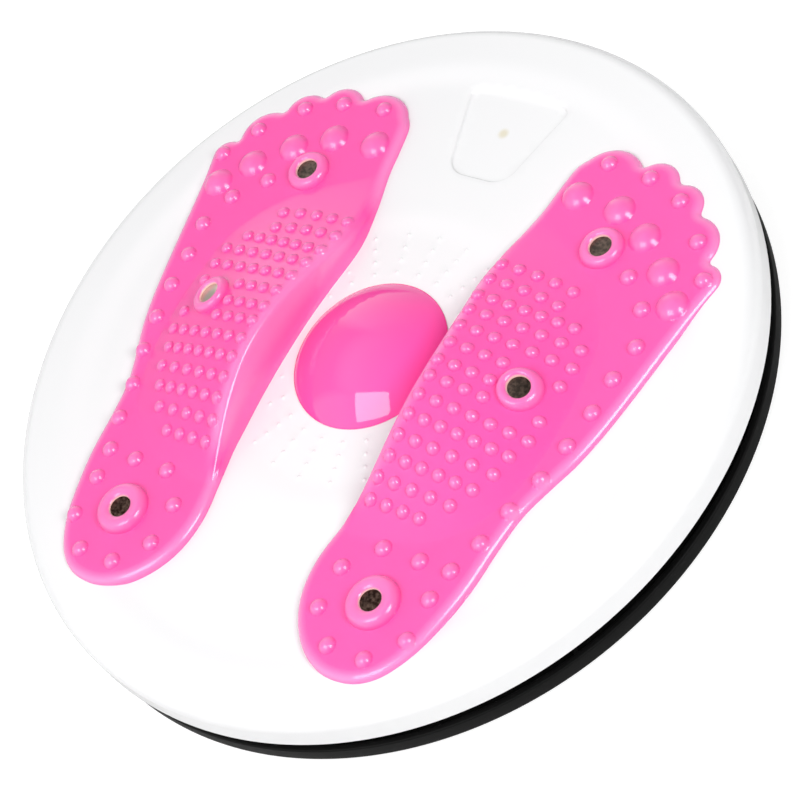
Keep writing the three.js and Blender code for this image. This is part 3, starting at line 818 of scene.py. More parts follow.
@dataclass(frozen=True)
class Nub:
    """A nub of the pads, a cap of a sphere with the points round it.

    Its sides are painted paler than the pad by its glow, painted light that stands in for light through the
    vinyl and for its sheen; its middle is painted less so by a share held back there.
    """

    radius: float
    height: float
    sides: int
    plain_middle: float = 0.0
    glow: float = 0.5
    fall: float = 3.0
    cap_rings: tuple[float, ...] = (0.22, 0.42, 0.6, 0.75, 0.86, 0.94, 1.0)
    foot_rings: tuple[float, ...] = (0.16, 0.45)

    def rings(self) -> list[Pair]:
        """Return the radii at which the section bends, each with the turn of its points."""
        cap = [(self.radius * share, 0.0) for share in self.cap_rings]
        return cap + [(self.radius + step, 0.5) for step in self.foot_rings]

    def section(self, r: np.ndarray) -> np.ndarray:
        """Return the height over the ground at distances from the middle, falling on beyond the foot.

        Args:
            r: the distances.

        Returns:
            The heights.
        """
        sphere = (self.radius**2 + self.height**2) / (2 * self.height)
        cap = np.sqrt(sphere**2 - np.minimum(r, self.radius) ** 2) - (sphere - self.height)
        return cap - self.fall * np.maximum(r - self.radius, 0)

    def paleness(self, cap: np.ndarray) -> np.ndarray:
        """Return how much painted light makes the vinyl paler where the nub has a height."""
        sides = smoothstep(cap, 0.05, self.height * 0.7)
        return self.glow * (sides * (1 - self.plain_middle * smoothstep(cap, 0, self.height)))


@dataclass(frozen=True)
class Row:
    """A row of nubs on the arch, as shares of the foot: its place and count, its ends and its bend."""

    place: float
    count: int
    first: float
    last: float
    bow: float = 0.0
    droop: float = 0.0

    def nubs(self) -> list[Pair]:
        """Return the places of the nubs.

        Returns:
            Shares of the foot's width and length.
        """
        shares = np.linspace(0, 1, self.count)
        x = [self.first + (self.last - self.first) * t - self.bow * math.sin(math.pi * t) for t in shares]
        return [(across, self.place - self.droop * t**3) for across, t in zip(x, shares)]


@dataclass(frozen=True)
class Boss:
    """A soft ring round a magnet: its place as shares of the foot, its size and its two magnets' shine, a
    painted reflection that makes each magnet paler where a lamp would show in it.

    Its section rises from the window to a crown and falls to the pad; the floor of the window is
    hidden under the magnet.
    """

    name: str
    place: Pair
    radius: float
    height: float
    shine: Pair
    window: float = 4.0
    sink: float = 1.5
    pocket: float = 0.8
    crown: float = 0.7
    fall: float = 1.2
    brink: float = 0.05
    sides: int = 44
    inner_rings: tuple[float, ...] = (0.0, 0.03, 0.1, 0.25, 0.5, 0.75)
    outer_rings: tuple[float, ...] = (0.0, 0.25, 0.5, 0.72, 0.88, 0.96, 1.0)
    foot_rings: tuple[float, ...] = (0.35, 0.9)

    def rings(self) -> list[float]:
        """Return the radii at which the section bends.

        Returns:
            The radii from the middle outwards.
        """
        crown = self.crown * self.radius
        inner = [self.window + (crown - self.window) * s for s in self.inner_rings]
        outer = [crown + (self.radius - crown) * s for s in self.outer_rings]
        foot = [self.radius + s for s in self.foot_rings]
        return [self.window / 2, self.window - 3 * self.brink, *inner, *outer, *foot]

    def section(self, r: np.ndarray) -> np.ndarray:
        """Return the height over the ground at distances from the middle.

        Args:
            r: the distances.

        Returns:
            The heights, which fall on beyond the foot.
        """
        crown = self.crown * self.radius
        out = np.clip((r - crown) / (self.radius - crown), 0, 1)
        into = np.clip((crown - r) / (crown - self.window), 0, 1)
        bowl = self.height - self.sink * quarter(into)
        height = np.where(r > crown, self.height * (1 - quarter(out)), bowl)
        height = np.where(r < self.window - self.brink, self.height - self.sink - self.pocket, height)
        return np.where(r > self.radius, self.fall * (self.radius - r), height)


@dataclass
class FootPads:
    """The two massage pads, mirror images of each other, and the magnets in their bosses."""

    length: float = 210.4
    width: float = 86.4
    medial_x: float = 26.1
    heel_y: float = -111.2
    seat_z: float = 27.3
    top_z: float = 30.7
    toe_turns: Pair = (-20.0, 150.0)
    cleft_reach: float = 2.4
    cleft_rounds: int = 6
    outline_step: float = 0.9
    outline_clear: float = 1.4
    grid_pitch: float = 1.7
    edge_round: float = 2.4
    edge_width: float = 4.0
    edge_drop: float = 2.6
    edge_angles: tuple[int, ...] = (20, 38, 55, 72, 90)
    heel_rise: float = 0.7
    heel_span: Pair = (0.15, 0.43)
    arch_height: float = 13.9
    arch_reach: float = 54.0
    arch_ledge: float = 1.0
    arch_lean: float = 0.12
    arch_round: float = 3.4
    arch_broad: float = 4.6
    arch_back: float = 0.224
    arch_peak: float = 0.474
    arch_widest: float = 0.609
    arch_front: float = 0.845
    arch_sink: float = 0.12
    arch_belly: float = 0.32
    arch_start: float = 0.68
    arch_steepest: float = 0.3
    arch_least: float = 6.0
    arch_lines: tuple[float, ...] = (-0.45, 0.0, 0.3, 0.6, 0.9, 1.15, 1.4, 1.8, 2.4, 3.2, 4.2, 5.4, 6.6)
    arch_clear: float = 7.3
    arch_fades: Pair = (1.75, 1.22)
    arch_fillet: float = 0.1
    arch_trace: float = 0.02
    crease_lines: tuple[float, ...] = (-0.5, 0.0, 0.5)
    crease_clear: float = 1.1
    crease_margin: float = 6.0
    flare: float = 0.9
    flare_span: Pair = (-1.3, -0.3)
    flare_full: float = 4.0
    foot_run: float = 0.45
    lean_reach: float = 2.1
    nub_fillet: float = 0.25
    nub_clear: float = 1.1
    boss_fillet: float = 0.35
    boss_clear: float = 1.2
    # Painted light: the boss, rim, ridge and wall glows paint the vinyl paler, standing in for light through
    # the vinyl and for the sheen and highlights on the bosses, the rounded rim, the arch's ridge and the side
    # wall.
    boss_glow: float = 0.4
    # Painted highlight: how far the pale peach rim of each window reaches.
    lip_width: float = 0.4
    rim_glow: float = 0.75
    rim_blur: float = 0.8
    rim_span: Pair = (0.6, 4.4)
    tight_span: Pair = (0.0, 2.5)
    ridge_line: float = 2.4
    ridge_fade: float = 2.4
    ridge_span: Pair = (1.0, 7.0)
    ridge_climb: Pair = (0.05, 0.65)
    ridge_glow: Pair = (0.2, 0.4)
    wall_glow: float = 0.2
    small: Nub = Nub(3.15, 2.3, 20, glow=0.36)
    big: Nub = Nub(5.8, 3.1, 32, 0.5)
    fine: Nub = Nub(2.3, 1.9, 16, glow=0.34)
    heel_ring: float = 20.1
    heel_count: int = 8
    magnet_radius: float = 5.0
    magnet_thickness: float = 3.5
    magnet_bevel: float = 0.25
    # The last pair of each boss is the painted reflection of its right and left magnets: how pale each is
    # painted.
    bosses: tuple[Boss, ...] = (
        Boss("toe", (0.457, 0.814), 8.1, 3.1, (0.1, 0.1)),
        Boss("arch", (0.501, 0.531), 7.9, 3.1, (0.06, 0.95)),
        Boss("heel", (0.354, 0.133), 9.8, 3.7, (0.0, 0.0)),
    )
    sides: tuple[Pair, ...] = (
        (0.133, 0.947), (0.111, 0.899), (0.094, 0.852), (0.056, 0.790), (0.035, 0.738), (0.034, 0.690),
        (0.057, 0.619), (0.073, 0.548), (0.078, 0.471), (0.073, 0.395), (0.056, 0.315), (0.027, 0.243),
        (0.001, 0.172), (0.015, 0.115), (0.067, 0.067), (0.155, 0.027), (0.259, 0.005), (0.352, 0.000),
        (0.450, 0.008), (0.537, 0.034), (0.610, 0.082), (0.654, 0.139), (0.689, 0.210), (0.705, 0.286),
        (0.727, 0.348), (0.777, 0.405), (0.828, 0.457), (0.869, 0.519), (0.905, 0.595), (0.936, 0.671),
        (0.969, 0.747),
    )
    inner_sides: int = 18
    toes: tuple[Triple, ...] = (
        (0.924, 0.808, 0.032), (0.782, 0.861, 0.056), (0.661, 0.923, 0.044), (0.510, 0.951, 0.044),
        (0.299, 0.939, 0.061),
    )
    small_places: tuple[Pair, ...] = (
        (0.280, 0.965), (0.489, 0.957), (0.667, 0.930), (0.832, 0.868), (0.938, 0.806), (0.631, 0.778),
        (0.758, 0.730), (0.820, 0.666), (0.798, 0.603), (0.790, 0.540), (0.765, 0.475), (0.734, 0.410),
        (0.681, 0.346), (0.641, 0.281), (0.588, 0.223),
    )
    big_places: tuple[Pair, ...] = (
        (0.223, 0.895), (0.436, 0.888), (0.606, 0.852), (0.759, 0.802), (0.871, 0.750),
    )
    rows: tuple[Row, ...] = (
        Row(0.7345, 5, 0.098, 0.449, 0.003, 0.0095),
        Row(0.7005, 5, 0.098, 0.4305, 0.001, 0.0085),
        Row(0.664, 7, 0.105, 0.545, 0.001),
        Row(0.632, 7, 0.121, 0.618, 0.006),
        Row(0.598, 7, 0.134, 0.625, 0.007),
        Row(0.562, 7, 0.149, 0.6215, 0.003),
        Row(0.526, 7, 0.149, 0.611, 0.003),
        Row(0.495, 7, 0.158, 0.622),
        Row(0.459, 7, 0.159, 0.6215),
        Row(0.424, 7, 0.158, 0.5845, 0.001),
        Row(0.3885, 6, 0.1535, 0.562, 0.0115),
        Row(0.354, 6, 0.148, 0.514),
        Row(0.3185, 5, 0.130, 0.457, 0.007),
        Row(0.2835, 4, 0.130, 0.359, 0.001),
    )
    row_clear: float = 2.8
    outline: np.ndarray = field(init=False)

    def __post_init__(self) -> None:
        """Draw the outline that everything else follows."""
        self.outline = self.draw_outline()

    def at(self, x: float, y: float) -> np.ndarray:
        """Return a place on the right foot from shares of its width and length."""
        return np.array([self.medial_x + x * self.width, self.along(y)])

    def along(self, share: float) -> float:
        """Return how far along the foot a share of its length is."""
        return self.heel_y + share * self.length

    def draw_outline(self) -> np.ndarray:
        """Draw the foot: arcs for the toes, one spline for the sides, small fillets between the toes.

        Returns:
            Close points, counter-clockwise, starting at the little toe.
        """
        toes = [(self.at(x, y), r * self.length) for x, y, r in self.toes]
        clefts = [self.cleft(a, b) for a, b in zip(toes, toes[1:])]
        line: list[np.ndarray] = []
        for k, (centre, radius) in enumerate(toes):
            start = self.toe_turns[0] if k == 0 else self.bearing(centre, clefts[k - 1])
            end = self.toe_turns[1] if k == len(toes) - 1 else self.bearing(centre, clefts[k])
            start = start - 360 if start > 180 else start
            turns = np.radians(np.linspace(start, end, 30))[0 if k == 0 else 1 :]
            line.extend(centre + radius * np.array([math.cos(a), math.sin(a)]) for a in turns)
        knots = [line[-1], *(self.at(*s) for s in self.sides), line[0]]
        line.extend(spline(knots, 420)[1:-1])
        return self.fillet(evenly(np.array(line), self.outline_step), clefts)

    @staticmethod
    def bearing(centre: np.ndarray, point: np.ndarray) -> float:
        """Return the angle from a centre to a point, in degrees from 0 to 360."""
        return math.degrees(math.atan2(point[1] - centre[1], point[0] - centre[0])) % 360

    @staticmethod
    def cleft(a: tuple[np.ndarray, float], b: tuple[np.ndarray, float]) -> np.ndarray:
        """Return the outer point where two neighbouring toes meet.

        Args:
            a: one toe's centre and radius.
            b: the next toe's.

        Returns:
            The point.
        """
        (p, r), (q, s) = a, b
        gap = float(np.linalg.norm(q - p))
        unit = (q - p) / gap
        along = (r * r - s * s + gap * gap) / (2 * gap)
        across = math.sqrt(r * r - along * along)
        return p + along * unit + across * np.array([unit[1], -unit[0]])

    def fillet(self, line: np.ndarray, clefts: Sequence[np.ndarray]) -> np.ndarray:
        """Soften a closed line near the points between the toes.

        Args:
            line: the line's points.
            clefts: the points between the toes.

        Returns:
            The softened line.
        """
        near = np.min([np.linalg.norm(line - c, axis=1) for c in clefts], axis=0) < self.cleft_reach
        for _ in range(self.cleft_rounds):
            middle = (np.roll(line, 1, axis=0) + np.roll(line, -1, axis=0)) / 2
            line = np.where(near[:, None], (line + middle) / 2, line)
        return line

    def edge_x(self, y: np.ndarray) -> np.ndarray:
        """Return the outline's inner edge at distances along the foot."""
        knots = spline([self.at(*s) for s in self.sides[: self.inner_sides]], 300)
        return np.interp(y, knots[::-1, 1], knots[::-1, 0])

    def crest(self, y: np.ndarray) -> np.ndarray:
        """Return the arch's height above the pad at distances along the foot.

        Args:
            y: the distances.

        Returns:
            The heights.
        """
        ahead, t = self.along_arch(y, self.arch_peak)
        fade = np.cos(math.pi / 2 * t)
        return self.arch_height * np.where(ahead, fade ** self.arch_fades[0], fade ** self.arch_fades[1])

    def along_arch(self, y: np.ndarray, middle: float) -> tuple[np.ndarray, np.ndarray]:
        """Tell which places lie ahead of a middle of the arch, and how far along to the arch's end.

        Args:
            y: distances along the foot.
            middle: the middle, as a share of the length.

        Returns:
            Whether each place lies ahead, and its share of the way from the middle to the end.
        """
        back, middle, front = map(self.along, (self.arch_back, middle, self.arch_front))
        ahead = y > middle
        share = np.where(ahead, (y - middle) / (front - middle), (middle - y) / (middle - back))
        return ahead, np.clip(share, 0, 1)

    def crease(self, y: np.ndarray) -> np.ndarray:
        """Return the line where the arch's slope meets the flat of the pad."""
        ahead, t = self.along_arch(y, self.arch_widest)
        return self.edge_x(y) + self.arch_reach * np.where(ahead, 1 - t**2.7, (1 - t**4) ** (1 / 3))

    def ground(self, xy: np.ndarray) -> np.ndarray:
        """Find the pad's height without nubs or bosses, away from its rounded edge.

        From the inner edge outwards the arch is a steep foot with a flare under it, a dome that
        rounds into the top, and a long slope down to the crease.

        Args:
            xy: points on the plan.

        Returns:
            The heights.
        """
        x, y = xy[:, 0], xy[:, 1]
        share = (y - self.heel_y) / self.length
        flat = self.top_z + self.heel_rise * (1 - smoothstep(share, *self.heel_span))
        wall = self.edge_x(y) + self.arch_ledge
        rise = self.crest(y) + self.arch_sink
        rounding = np.minimum(self.arch_round, rise)
        top = wall + self.arch_lean * (rise - rounding)
        start = top + self.arch_broad
        span = np.maximum(self.crease(y) - start, 1e-3)
        s = (x - start) / span
        slope = rise * (1 - s + self.arch_belly * s * (1 - s))
        steepness = self.arch_start * rise / np.maximum(span, self.arch_least)
        climb = np.minimum(steepness, self.arch_steepest) * self.arch_broad
        out = 1 - np.clip((x - top) / self.arch_broad, 0, 1)
        dome = rise + climb * out - rounding * quarter(out)
        run = np.clip((x - wall + self.foot_run) / (top - wall + self.foot_run), 0, 1)
        flare = self.flare * smoothstep(x - wall, *self.flare_span) ** 2
        flare *= np.minimum(rise / self.flare_full, 1)
        foot = np.maximum((rise + climb - rounding) * run, flare)
        hill = np.where(x >= start, slope, np.where(x >= top, dome, foot))
        there = (self.crest(y) > self.arch_trace) & (x < self.crease(y) + self.crease_margin)
        return flat + soft_max(np.where(there, hill, -1.0) - self.arch_sink, self.arch_fillet)

    def lean(self, place: np.ndarray) -> float:
        """Return how steeply the ground falls away from the inner edge at a place.

        Args:
            place: the place on the plan.

        Returns:
            The slope in radians.
        """
        aside = (self.lean_reach, 0)
        left, right = self.ground(np.array([place - aside, place + aside]))
        return math.atan2(left - right, 2 * self.lean_reach)

    def nub_places(self) -> list[tuple[Nub, np.ndarray]]:
        """List every nub with its place, less those that a boss would cover.

        Returns:
            Pairs of a nub and a place on the plan.
        """
        found = [(self.small, self.at(*s)) for s in self.small_places]
        found += [(self.big, self.at(*s)) for s in self.big_places]
        heel = self.at(*self.bosses[-1].place)
        found += [(self.small, p) for p in ring(self.heel_ring, self.heel_count, 0.5, heel)]
        fine = [self.at(*share) for row in self.rows for share in row.nubs()]
        for boss in self.bosses:
            centre = self.at(*boss.place)
            fine = [p for p in fine if np.linalg.norm(p - centre) > boss.radius + self.row_clear]
        return found + [(self.fine, p) for p in fine]

    def skin(self) -> tuple[np.ndarray, list, list[int]]:
        """Lay out the pad's surface from above.

        Returns:
            The points, the triangles and the numbers of the outline's points in order.
        """
        skin = Skin()
        border = skin.add_loop(self.outline)
        for angle in self.edge_angles:
            skin.add_loop(inset(self.outline, self.edge_width * (1 - math.cos(math.radians(angle)))))
        back, front = self.along(self.arch_back), self.along(self.arch_front)
        y = np.arange(back + 1, front - 1, 1.0)
        for step in self.arch_lines:
            skin.add_loop(np.stack([self.edge_x(y) + self.arch_ledge + step, y], axis=1), closed=False)
        for step in self.crease_lines:
            skin.add_points(np.stack([self.crease(y) + step, y], axis=1))
        grid = hexagonal_grid(self.outline.min(axis=0), self.outline.max(axis=0), self.grid_pitch)
        grid = grid[inside(grid, self.outline)]
        x, y = grid[:, 0], grid[:, 1]
        keep = nearest(grid, self.outline) > self.outline_clear
        arch = (y > back) & (y < front)
        keep &= ~(arch & (x < self.edge_x(y) + self.arch_ledge + self.arch_clear))
        keep &= ~(arch & (np.abs(x - self.crease(y)) < self.crease_clear))
        for nub, place in self.nub_places():
            keep &= np.linalg.norm(grid - place, axis=1) > nub.radius + self.nub_clear
            skin.add_points([place])
            for radius, turn in nub.rings():
                skin.add_points(ring(radius, nub.sides, turn, place))
        for boss in self.bosses:
            place = self.at(*boss.place)
            keep &= np.linalg.norm(grid - place, axis=1) > boss.radius + self.boss_clear
            skin.add_points([place])
            for radius in boss.rings():
                skin.add_points(place + ring(radius, boss.sides) * (math.cos(self.lean(place)), 1))
        skin.add_points(grid[keep])
        points, triangles, where = skin.triangles()
        return points, triangles, [where[i] for i in border]

    def raise_boss(self, boss: Boss, xy: np.ndarray, z: np.ndarray, masks: dict[str, np.ndarray]) -> None:
        """Raise a boss square to the ground's slope, in the heights and the masks themselves.

        Args:
            boss: the boss.
            xy: points on the plan.
            z: their heights.
            masks: how much painted light makes the vinyl paler, and how far each point belongs to a window's
                lip, where a highlight is painted.
        """
        place = self.at(*boss.place)
        lean = self.lean(place)
        r = np.linalg.norm((xy - place) / (math.cos(lean), 1.0), axis=1)
        near = r < boss.radius + 1.5
        r = r[near]
        height = boss.section(r) / math.cos(lean)
        plane = self.ground(place[None, :])[0] - math.tan(lean) * (xy[near, 0] - place[0])
        blend = smoothstep(r, boss.radius * 0.6, boss.radius + 1.0)
        outer = plane * (1 - blend) + z[near] * blend + soft_max(height, self.boss_fillet)
        brink = boss.window - boss.brink
        z[near] = np.where(r < brink, plane + height, outer)
        # Painted light: the boss ring is painted paler towards its crown.
        glow = self.boss_glow * smoothstep(height, 0.1, boss.height * 0.8)
        # Painted highlight: the window's lip is painted pale peach, fading outwards.
        lip = (r > brink) * (1 - smoothstep(r, boss.window, boss.window + self.lip_width))
        for name, mask in (("thin", glow), ("lip", lip)):
            masks[name][near] = np.maximum(masks[name][near], mask)

    def lift(self, xy: np.ndarray) -> tuple[np.ndarray, dict[str, np.ndarray]]:
        """Find the pad's height and colouring at points on the plan.

        Painted light makes the vinyl paler on nubs and bosses, along the pad's rim and on the ridge of the
        arch, standing in for light through the vinyl and for the sheen and highlights that fall there.

        Args:
            xy: the points.

        Returns:
            The heights and the masks for painted light and for the painted highlights on the lips of the
            windows.
        """
        z = self.ground(xy)
        masks = {"thin": np.zeros(len(xy)), "lip": np.zeros(len(xy))}
        thin = masks["thin"]
        for nub, place in self.nub_places():
            r = np.linalg.norm(xy - place, axis=1)
            near = r < nub.radius + 1.2
            cap = nub.section(r[near])
            z[near] += soft_max(cap, self.nub_fillet)
            thin[near] = np.maximum(thin[near], nub.paleness(cap))
        for boss in self.bosses:
            self.raise_boss(boss, xy, z, masks)
        x, y = xy[:, 0], xy[:, 1]
        wall = self.edge_x(y) + self.arch_ledge
        crest = self.crest(y)
        depth = nearest(xy, self.outline)
        tight = smoothstep(crest, *self.tight_span) * (x < wall + self.arch_broad)
        width = self.edge_width + (self.edge_round - self.edge_width) * tight
        drop = self.edge_drop + (self.edge_round - self.edge_drop) * tight
        z -= drop * quarter(np.clip(1 - depth / width, 0, 1))
        # Painted highlight along the rounded rim, and painted light on the arch's ridge that reaches down its
        # wall and fades away from it.
        rim = smoothstep(depth, -self.rim_blur, self.rim_blur) * (1 - smoothstep(depth, *self.rim_span))
        up = smoothstep(z - self.top_z, self.ridge_climb[0] * crest, self.ridge_climb[1] * crest + 0.1)
        glow = smoothstep(crest, *self.ridge_span) * (self.ridge_glow[0] + self.ridge_glow[1] * up)
        glow *= np.exp(-((np.maximum(x - wall - self.ridge_line, 0) / self.ridge_fade) ** 2))
        masks["thin"] = np.max([thin, (1 - tight) * self.rim_glow * rim, glow], axis=0)
        return z, masks

    def build_right(self) -> Any:
        """Model the right pad: its skin, its side wall and its flat underside.

        Returns:
            The object.
        """
        xy, triangles, border = self.skin()
        z, masks = self.lift(xy)
        count, edge = len(xy), len(border)
        below = np.column_stack([xy[border], np.full(edge, self.seat_z)])
        faces: list[Sequence[int]] = list(triangles)
        for k, a in enumerate(border):
            after = (k + 1) % edge
            faces.append((count + k, count + after, border[after], a))
        faces.append(tuple(count + k for k in reversed(range(edge))))
        obj = mesh_from("massage_pad", np.vstack([np.column_stack([xy, z]), below]), faces)
        # The side wall is painted a little paler as well, as painted light, with no lip.
        for name, wall in (("thin", self.wall_glow), ("lip", 0.0)):
            colour_by(obj, name, np.concatenate([masks[name], np.full(edge, wall)]))
        smooth(obj, 50)
        return obj

    def mirror(self, obj: Any) -> Any:
        """Make the left foot's copy of a piece of the right foot.

        Args:
            obj: the piece.

        Returns:
            The mirror image.
        """
        twin = only(copy_of(obj))
        twin.scale = (-1, 1, 1)
        settle(twin)
        face_outwards(twin)
        return twin

    def build_magnet(self, boss: Boss) -> Any:
        """Model a magnet: a ground disc with its edge broken, tilted as its boss is.

        Args:
            boss: the boss that holds it.

        Returns:
            The object.
        """
        place = self.at(*boss.place)
        lift = boss.height - boss.sink - self.magnet_thickness / 2
        obj = cylinder(self.magnet_radius, self.magnet_thickness, (0, 0, lift), 64)
        settle(obj)
        bevel(obj, self.magnet_bevel)
        obj.rotation_euler = (0, self.lean(place), 0)
        obj.location = (place[0] * MM, place[1] * MM, self.ground(place[None, :])[0] * MM)
        settle(obj)
        smooth(obj, 32)
        return obj

    def build(self) -> None:
        """Build both pads and their magnets."""
        vinyl = PINK_VINYL.material()
        ferrite = FERRITE.material()
        right = self.build_right()
        for side, pad in (("right", right), ("left", self.mirror(right))):
            dress(pad, f"{side}_massage_pad", vinyl, Body.TOP, f"{side}_foot_pad", "pink_pad")
        for boss in self.bosses:
            magnet = self.build_magnet(boss)
            for side, piece, shine in zip(("right", "left"), (magnet, self.mirror(magnet)), boss.shine):
                # Painted reflection: each magnet carries how pale it is painted.
                colour_by(piece, "painted_reflection", np.full(len(piece.data.vertices), shine))
                name = f"{side}_{boss.name}_magnet"
                dress(piece, name, ferrite, Body.TOP, f"magnet_{side}_{boss.name}", "magnet")


# Platform and dome


@dataclass(frozen=True)
class RaceSeat:
    """The two round walls of a disc that hold a race, and the ribs that brace them."""

    circle: float = 100.0
    offset: float = 7.8
    wall: float = 2.0
    rib_count: int = 6
    rib_thickness: float = 1.8
    rib_bevel: float = 0.3

    def walls(self, root_z: float, seat_z: float) -> list[Pair]:
        """Return the walls' section from the outside in.

        Args:
            root_z: height at which they stand on the disc.
            seat_z: height of the race's seat.

        Returns:
            Pairs of radius and height.
        """
        section = []
        for middle in (self.circle + self.offset, self.circle - self.offset):
            outer, inner = middle + self.wall / 2, middle - self.wall / 2
            section += [(outer, root_z), (outer, seat_z), (inner, seat_z), (inner, root_z)]
        return section

    def ribs(self, hub: float, rim: float, low: float, high: float) -> list[Any]:
        """Model flat ribs that run outwards on both sides of the walls, with their edges broken.

        Args:
            hub: radius where the inner ribs start.
            rim: radius where the outer ribs end.
            low: height of the lower edge.
            high: height of the upper edge.

        Returns:
            The ribs.
        """
        made = []
        for inner, outer in ((hub, self.circle - self.offset), (self.circle + self.offset, rim)):
            bpy.ops.object.select_all(action="DESELECT")
            bpy.ops.mesh.primitive_cube_add(
                size=MM,
                location=((inner + outer) / 2 * MM, 0, (low + high) / 2 * MM),
                scale=(outer - inner, self.rib_thickness, high - low),
            )
            model = bpy.context.object
            settle(model)
            bevel(model, self.rib_bevel)
            for k in range(self.rib_count):
                rib = copy_of(model)
                rib.rotation_euler = (0, 0, 2 * math.pi * (k + 0.5) / self.rib_count)
                settle(rib)
                made.append(rib)
            bpy.data.objects.remove(model)
        return made


@dataclass
class Platform:
    """The white disc: a moulded shell with a raised rim, a recessed panel and grip dots."""

    radius: float = 140.0
    skirt_z: float = 14.9
    crown_z: float = 29.0
    field_z: float = 27.9
    well_z: float = 27.3
    under_z: float = 25.3
    shoulder: float = 6.0
    draft: float = 0.2
    skirt_wall: float = 2.5
    skirt_edge: float = 0.6
    step_outer: float = 124.0
    step_inner: float = 112.0
    well_slope: float = 60.0
    well: float = 49.0
    rim_flat: float = 131.0
    join_radius: float = 127.5
    rim_foot: float = 124.8
    pocket_radius: float = 15.5
    pocket_z: float = 21.3
    hub_radius: float = 18.0
    hub_z: float = 17.9
    bore: float = 7.0
    race_seat_z: float = 17.75
    rib_height: float = 4.0
    panel_depth: float = 0.8
    panel_slope: Pair = (-0.25, 0.55)
    panel_arc: float = 112.6
    panel_outer: float = 21.3
    panel_inner: float = 14.6
    panel_y: float = 75.6
    panel_corner: float = 9.0
    panel_tip: float = 2.5
    panel_lines: tuple[float, ...] = (-0.3, -0.05, 0.15, 0.35, 0.6)
    panel_clear: Pair = (1.6, 1.8)
    panel_step: float = 1.0
    dot_circles: tuple[float, ...] = (34.2, 39.4, 44.6, 49.7)
    dot_step: float = 15.0
    dot_top: float = 0.25
    dot_radius: float = 0.95
    dot_height: float = 0.35
    dot_rings: tuple[float, ...] = (0.3, 0.55, 0.8, 0.95)
    dot_sides: int = 10
    dot_clear: float = 0.9
    pad_clear: float = 1.6
    inner_circles: Pair = (22.0, 29.0)
    inner_sides: int = 96
    slope_circles: tuple[float, ...] = (49, 50.8, 52.7, 54.5, 56.3, 58.2, 60)
    step_circles: int = 11
    last_circle: float = 125.8
    grid_pitch: float = 3.0
    grid_reach: float = 125.0
    grid_bands: tuple[Pair, ...] = ((17.5, 46.5), (62.5, 110.5))
    sides: int = 240
    seat: RaceSeat = RaceSeat()
    pads: Sequence[np.ndarray] = ()
    panel: np.ndarray = field(init=False)

    def __post_init__(self) -> None:
        """Draw the panel's outline."""
        self.panel = self.draw_panel()

    def draw_panel(self) -> np.ndarray:
        """Draw the recess between the toes.

        Returns:
            Close points, counter-clockwise.
        """
        tip_x = self.panel_outer - self.panel_tip
        turns = np.linspace(0, math.asin(tip_x / self.panel_arc), 30)
        top = [(self.panel_arc * math.sin(a), self.panel_arc * math.cos(a)) for a in turns]
        tip_y = math.sqrt(self.panel_arc**2 - self.panel_outer**2) - self.panel_tip
        tip = bend((tip_x, tip_y), self.panel_tip, np.radians([60, 30, 0]))
        middle = (self.panel_inner - self.panel_corner, self.panel_y + self.panel_corner)
        foot = bend(middle, self.panel_corner, np.radians(np.linspace(-8, -90, 12)))
        half = top + tip + foot
        other = [(-x, y) for x, y in reversed(half[1:])]
        return evenly(np.array(half + other)[::-1], self.panel_step)

    def height(self, xy: np.ndarray) -> np.ndarray:
        """Return the height of the platform's upper face at points on the plan.

        Args:
            xy: the points.

        Returns:
            The heights.
        """
        r = np.linalg.norm(xy, axis=1)
        z = self.well_z + (self.field_z - self.well_z) * smoothstep(r, self.well, self.well_slope)
        z += (self.crown_z - self.field_z) * smoothstep(r, self.step_inner, self.step_outer)
        gap = nearest(xy, self.panel)
        sunk = smoothstep(np.where(inside(xy, self.panel), gap, -gap), *self.panel_slope)
        z = z * (1 - sunk) + (self.field_z - self.panel_depth) * sunk
        for place in self.dots():
            away = np.linalg.norm(xy - place, axis=1)
            z += self.dot_height * (1 - smoothstep(away, self.dot_top, self.dot_radius))
        return z

    def dots(self) -> list[np.ndarray]:
        """List the places of the grip dots, in columns from the pivot, clear of the pads.

        Returns:
            Places on the plan.
        """
        turns = np.radians(np.arange(0, 360, self.dot_step))
        places = np.array([(r * math.cos(a), r * math.sin(a)) for r in self.dot_circles for a in turns])
        for outline in self.pads:
            places = places[~inside(places, outline) & (nearest(places, outline) > self.pad_clear)]
        return list(places)

    def build_skin(self) -> Any:
        """Model the upper face inside the rim.

        Returns:
            The object.
        """
        skin = Skin()
        skin.add_loop(ring(self.join_radius, self.sides))
        skin.add_loop(ring(self.pocket_radius, self.sides))
        for r in self.inner_circles:
            skin.add_points(ring(r, self.inner_sides))
        steps = np.linspace(self.step_inner, self.step_outer, self.step_circles)
        for k, r in enumerate((*self.slope_circles, *steps, self.last_circle)):
            circle = ring(r, self.sides // 2, 0.5 * (k % 2))
            skin.add_points(circle[nearest(circle, self.panel) > self.panel_clear[0]])
        for step in self.panel_lines:
            skin.add_loop(inset(self.panel, step))
        reach = np.full(2, self.grid_reach)
        grid = hexagonal_grid(-reach, reach, self.grid_pitch)
        r = np.linalg.norm(grid, axis=1)
        keep = np.any([(r > low) & (r < high) for low, high in self.grid_bands], axis=0)
        keep &= nearest(grid, self.panel) > self.panel_clear[1]
        for place in self.dots():
            keep &= np.linalg.norm(grid - place, axis=1) > self.dot_radius + self.dot_clear
            skin.add_points([place])
            for radius in self.dot_rings:
                skin.add_points(ring(radius, self.dot_sides, centre=place))
        skin.add_points(grid[keep])
        points, triangles, _ = skin.triangles()
        middles = np.linalg.norm([points[list(t)].mean(axis=0) for t in triangles], axis=1)
        faces = [t for t, r in zip(triangles, middles) if r >= self.pocket_radius * 0.9999]
        return mesh_from("platform_face", np.column_stack([points, self.height(points)]), faces)

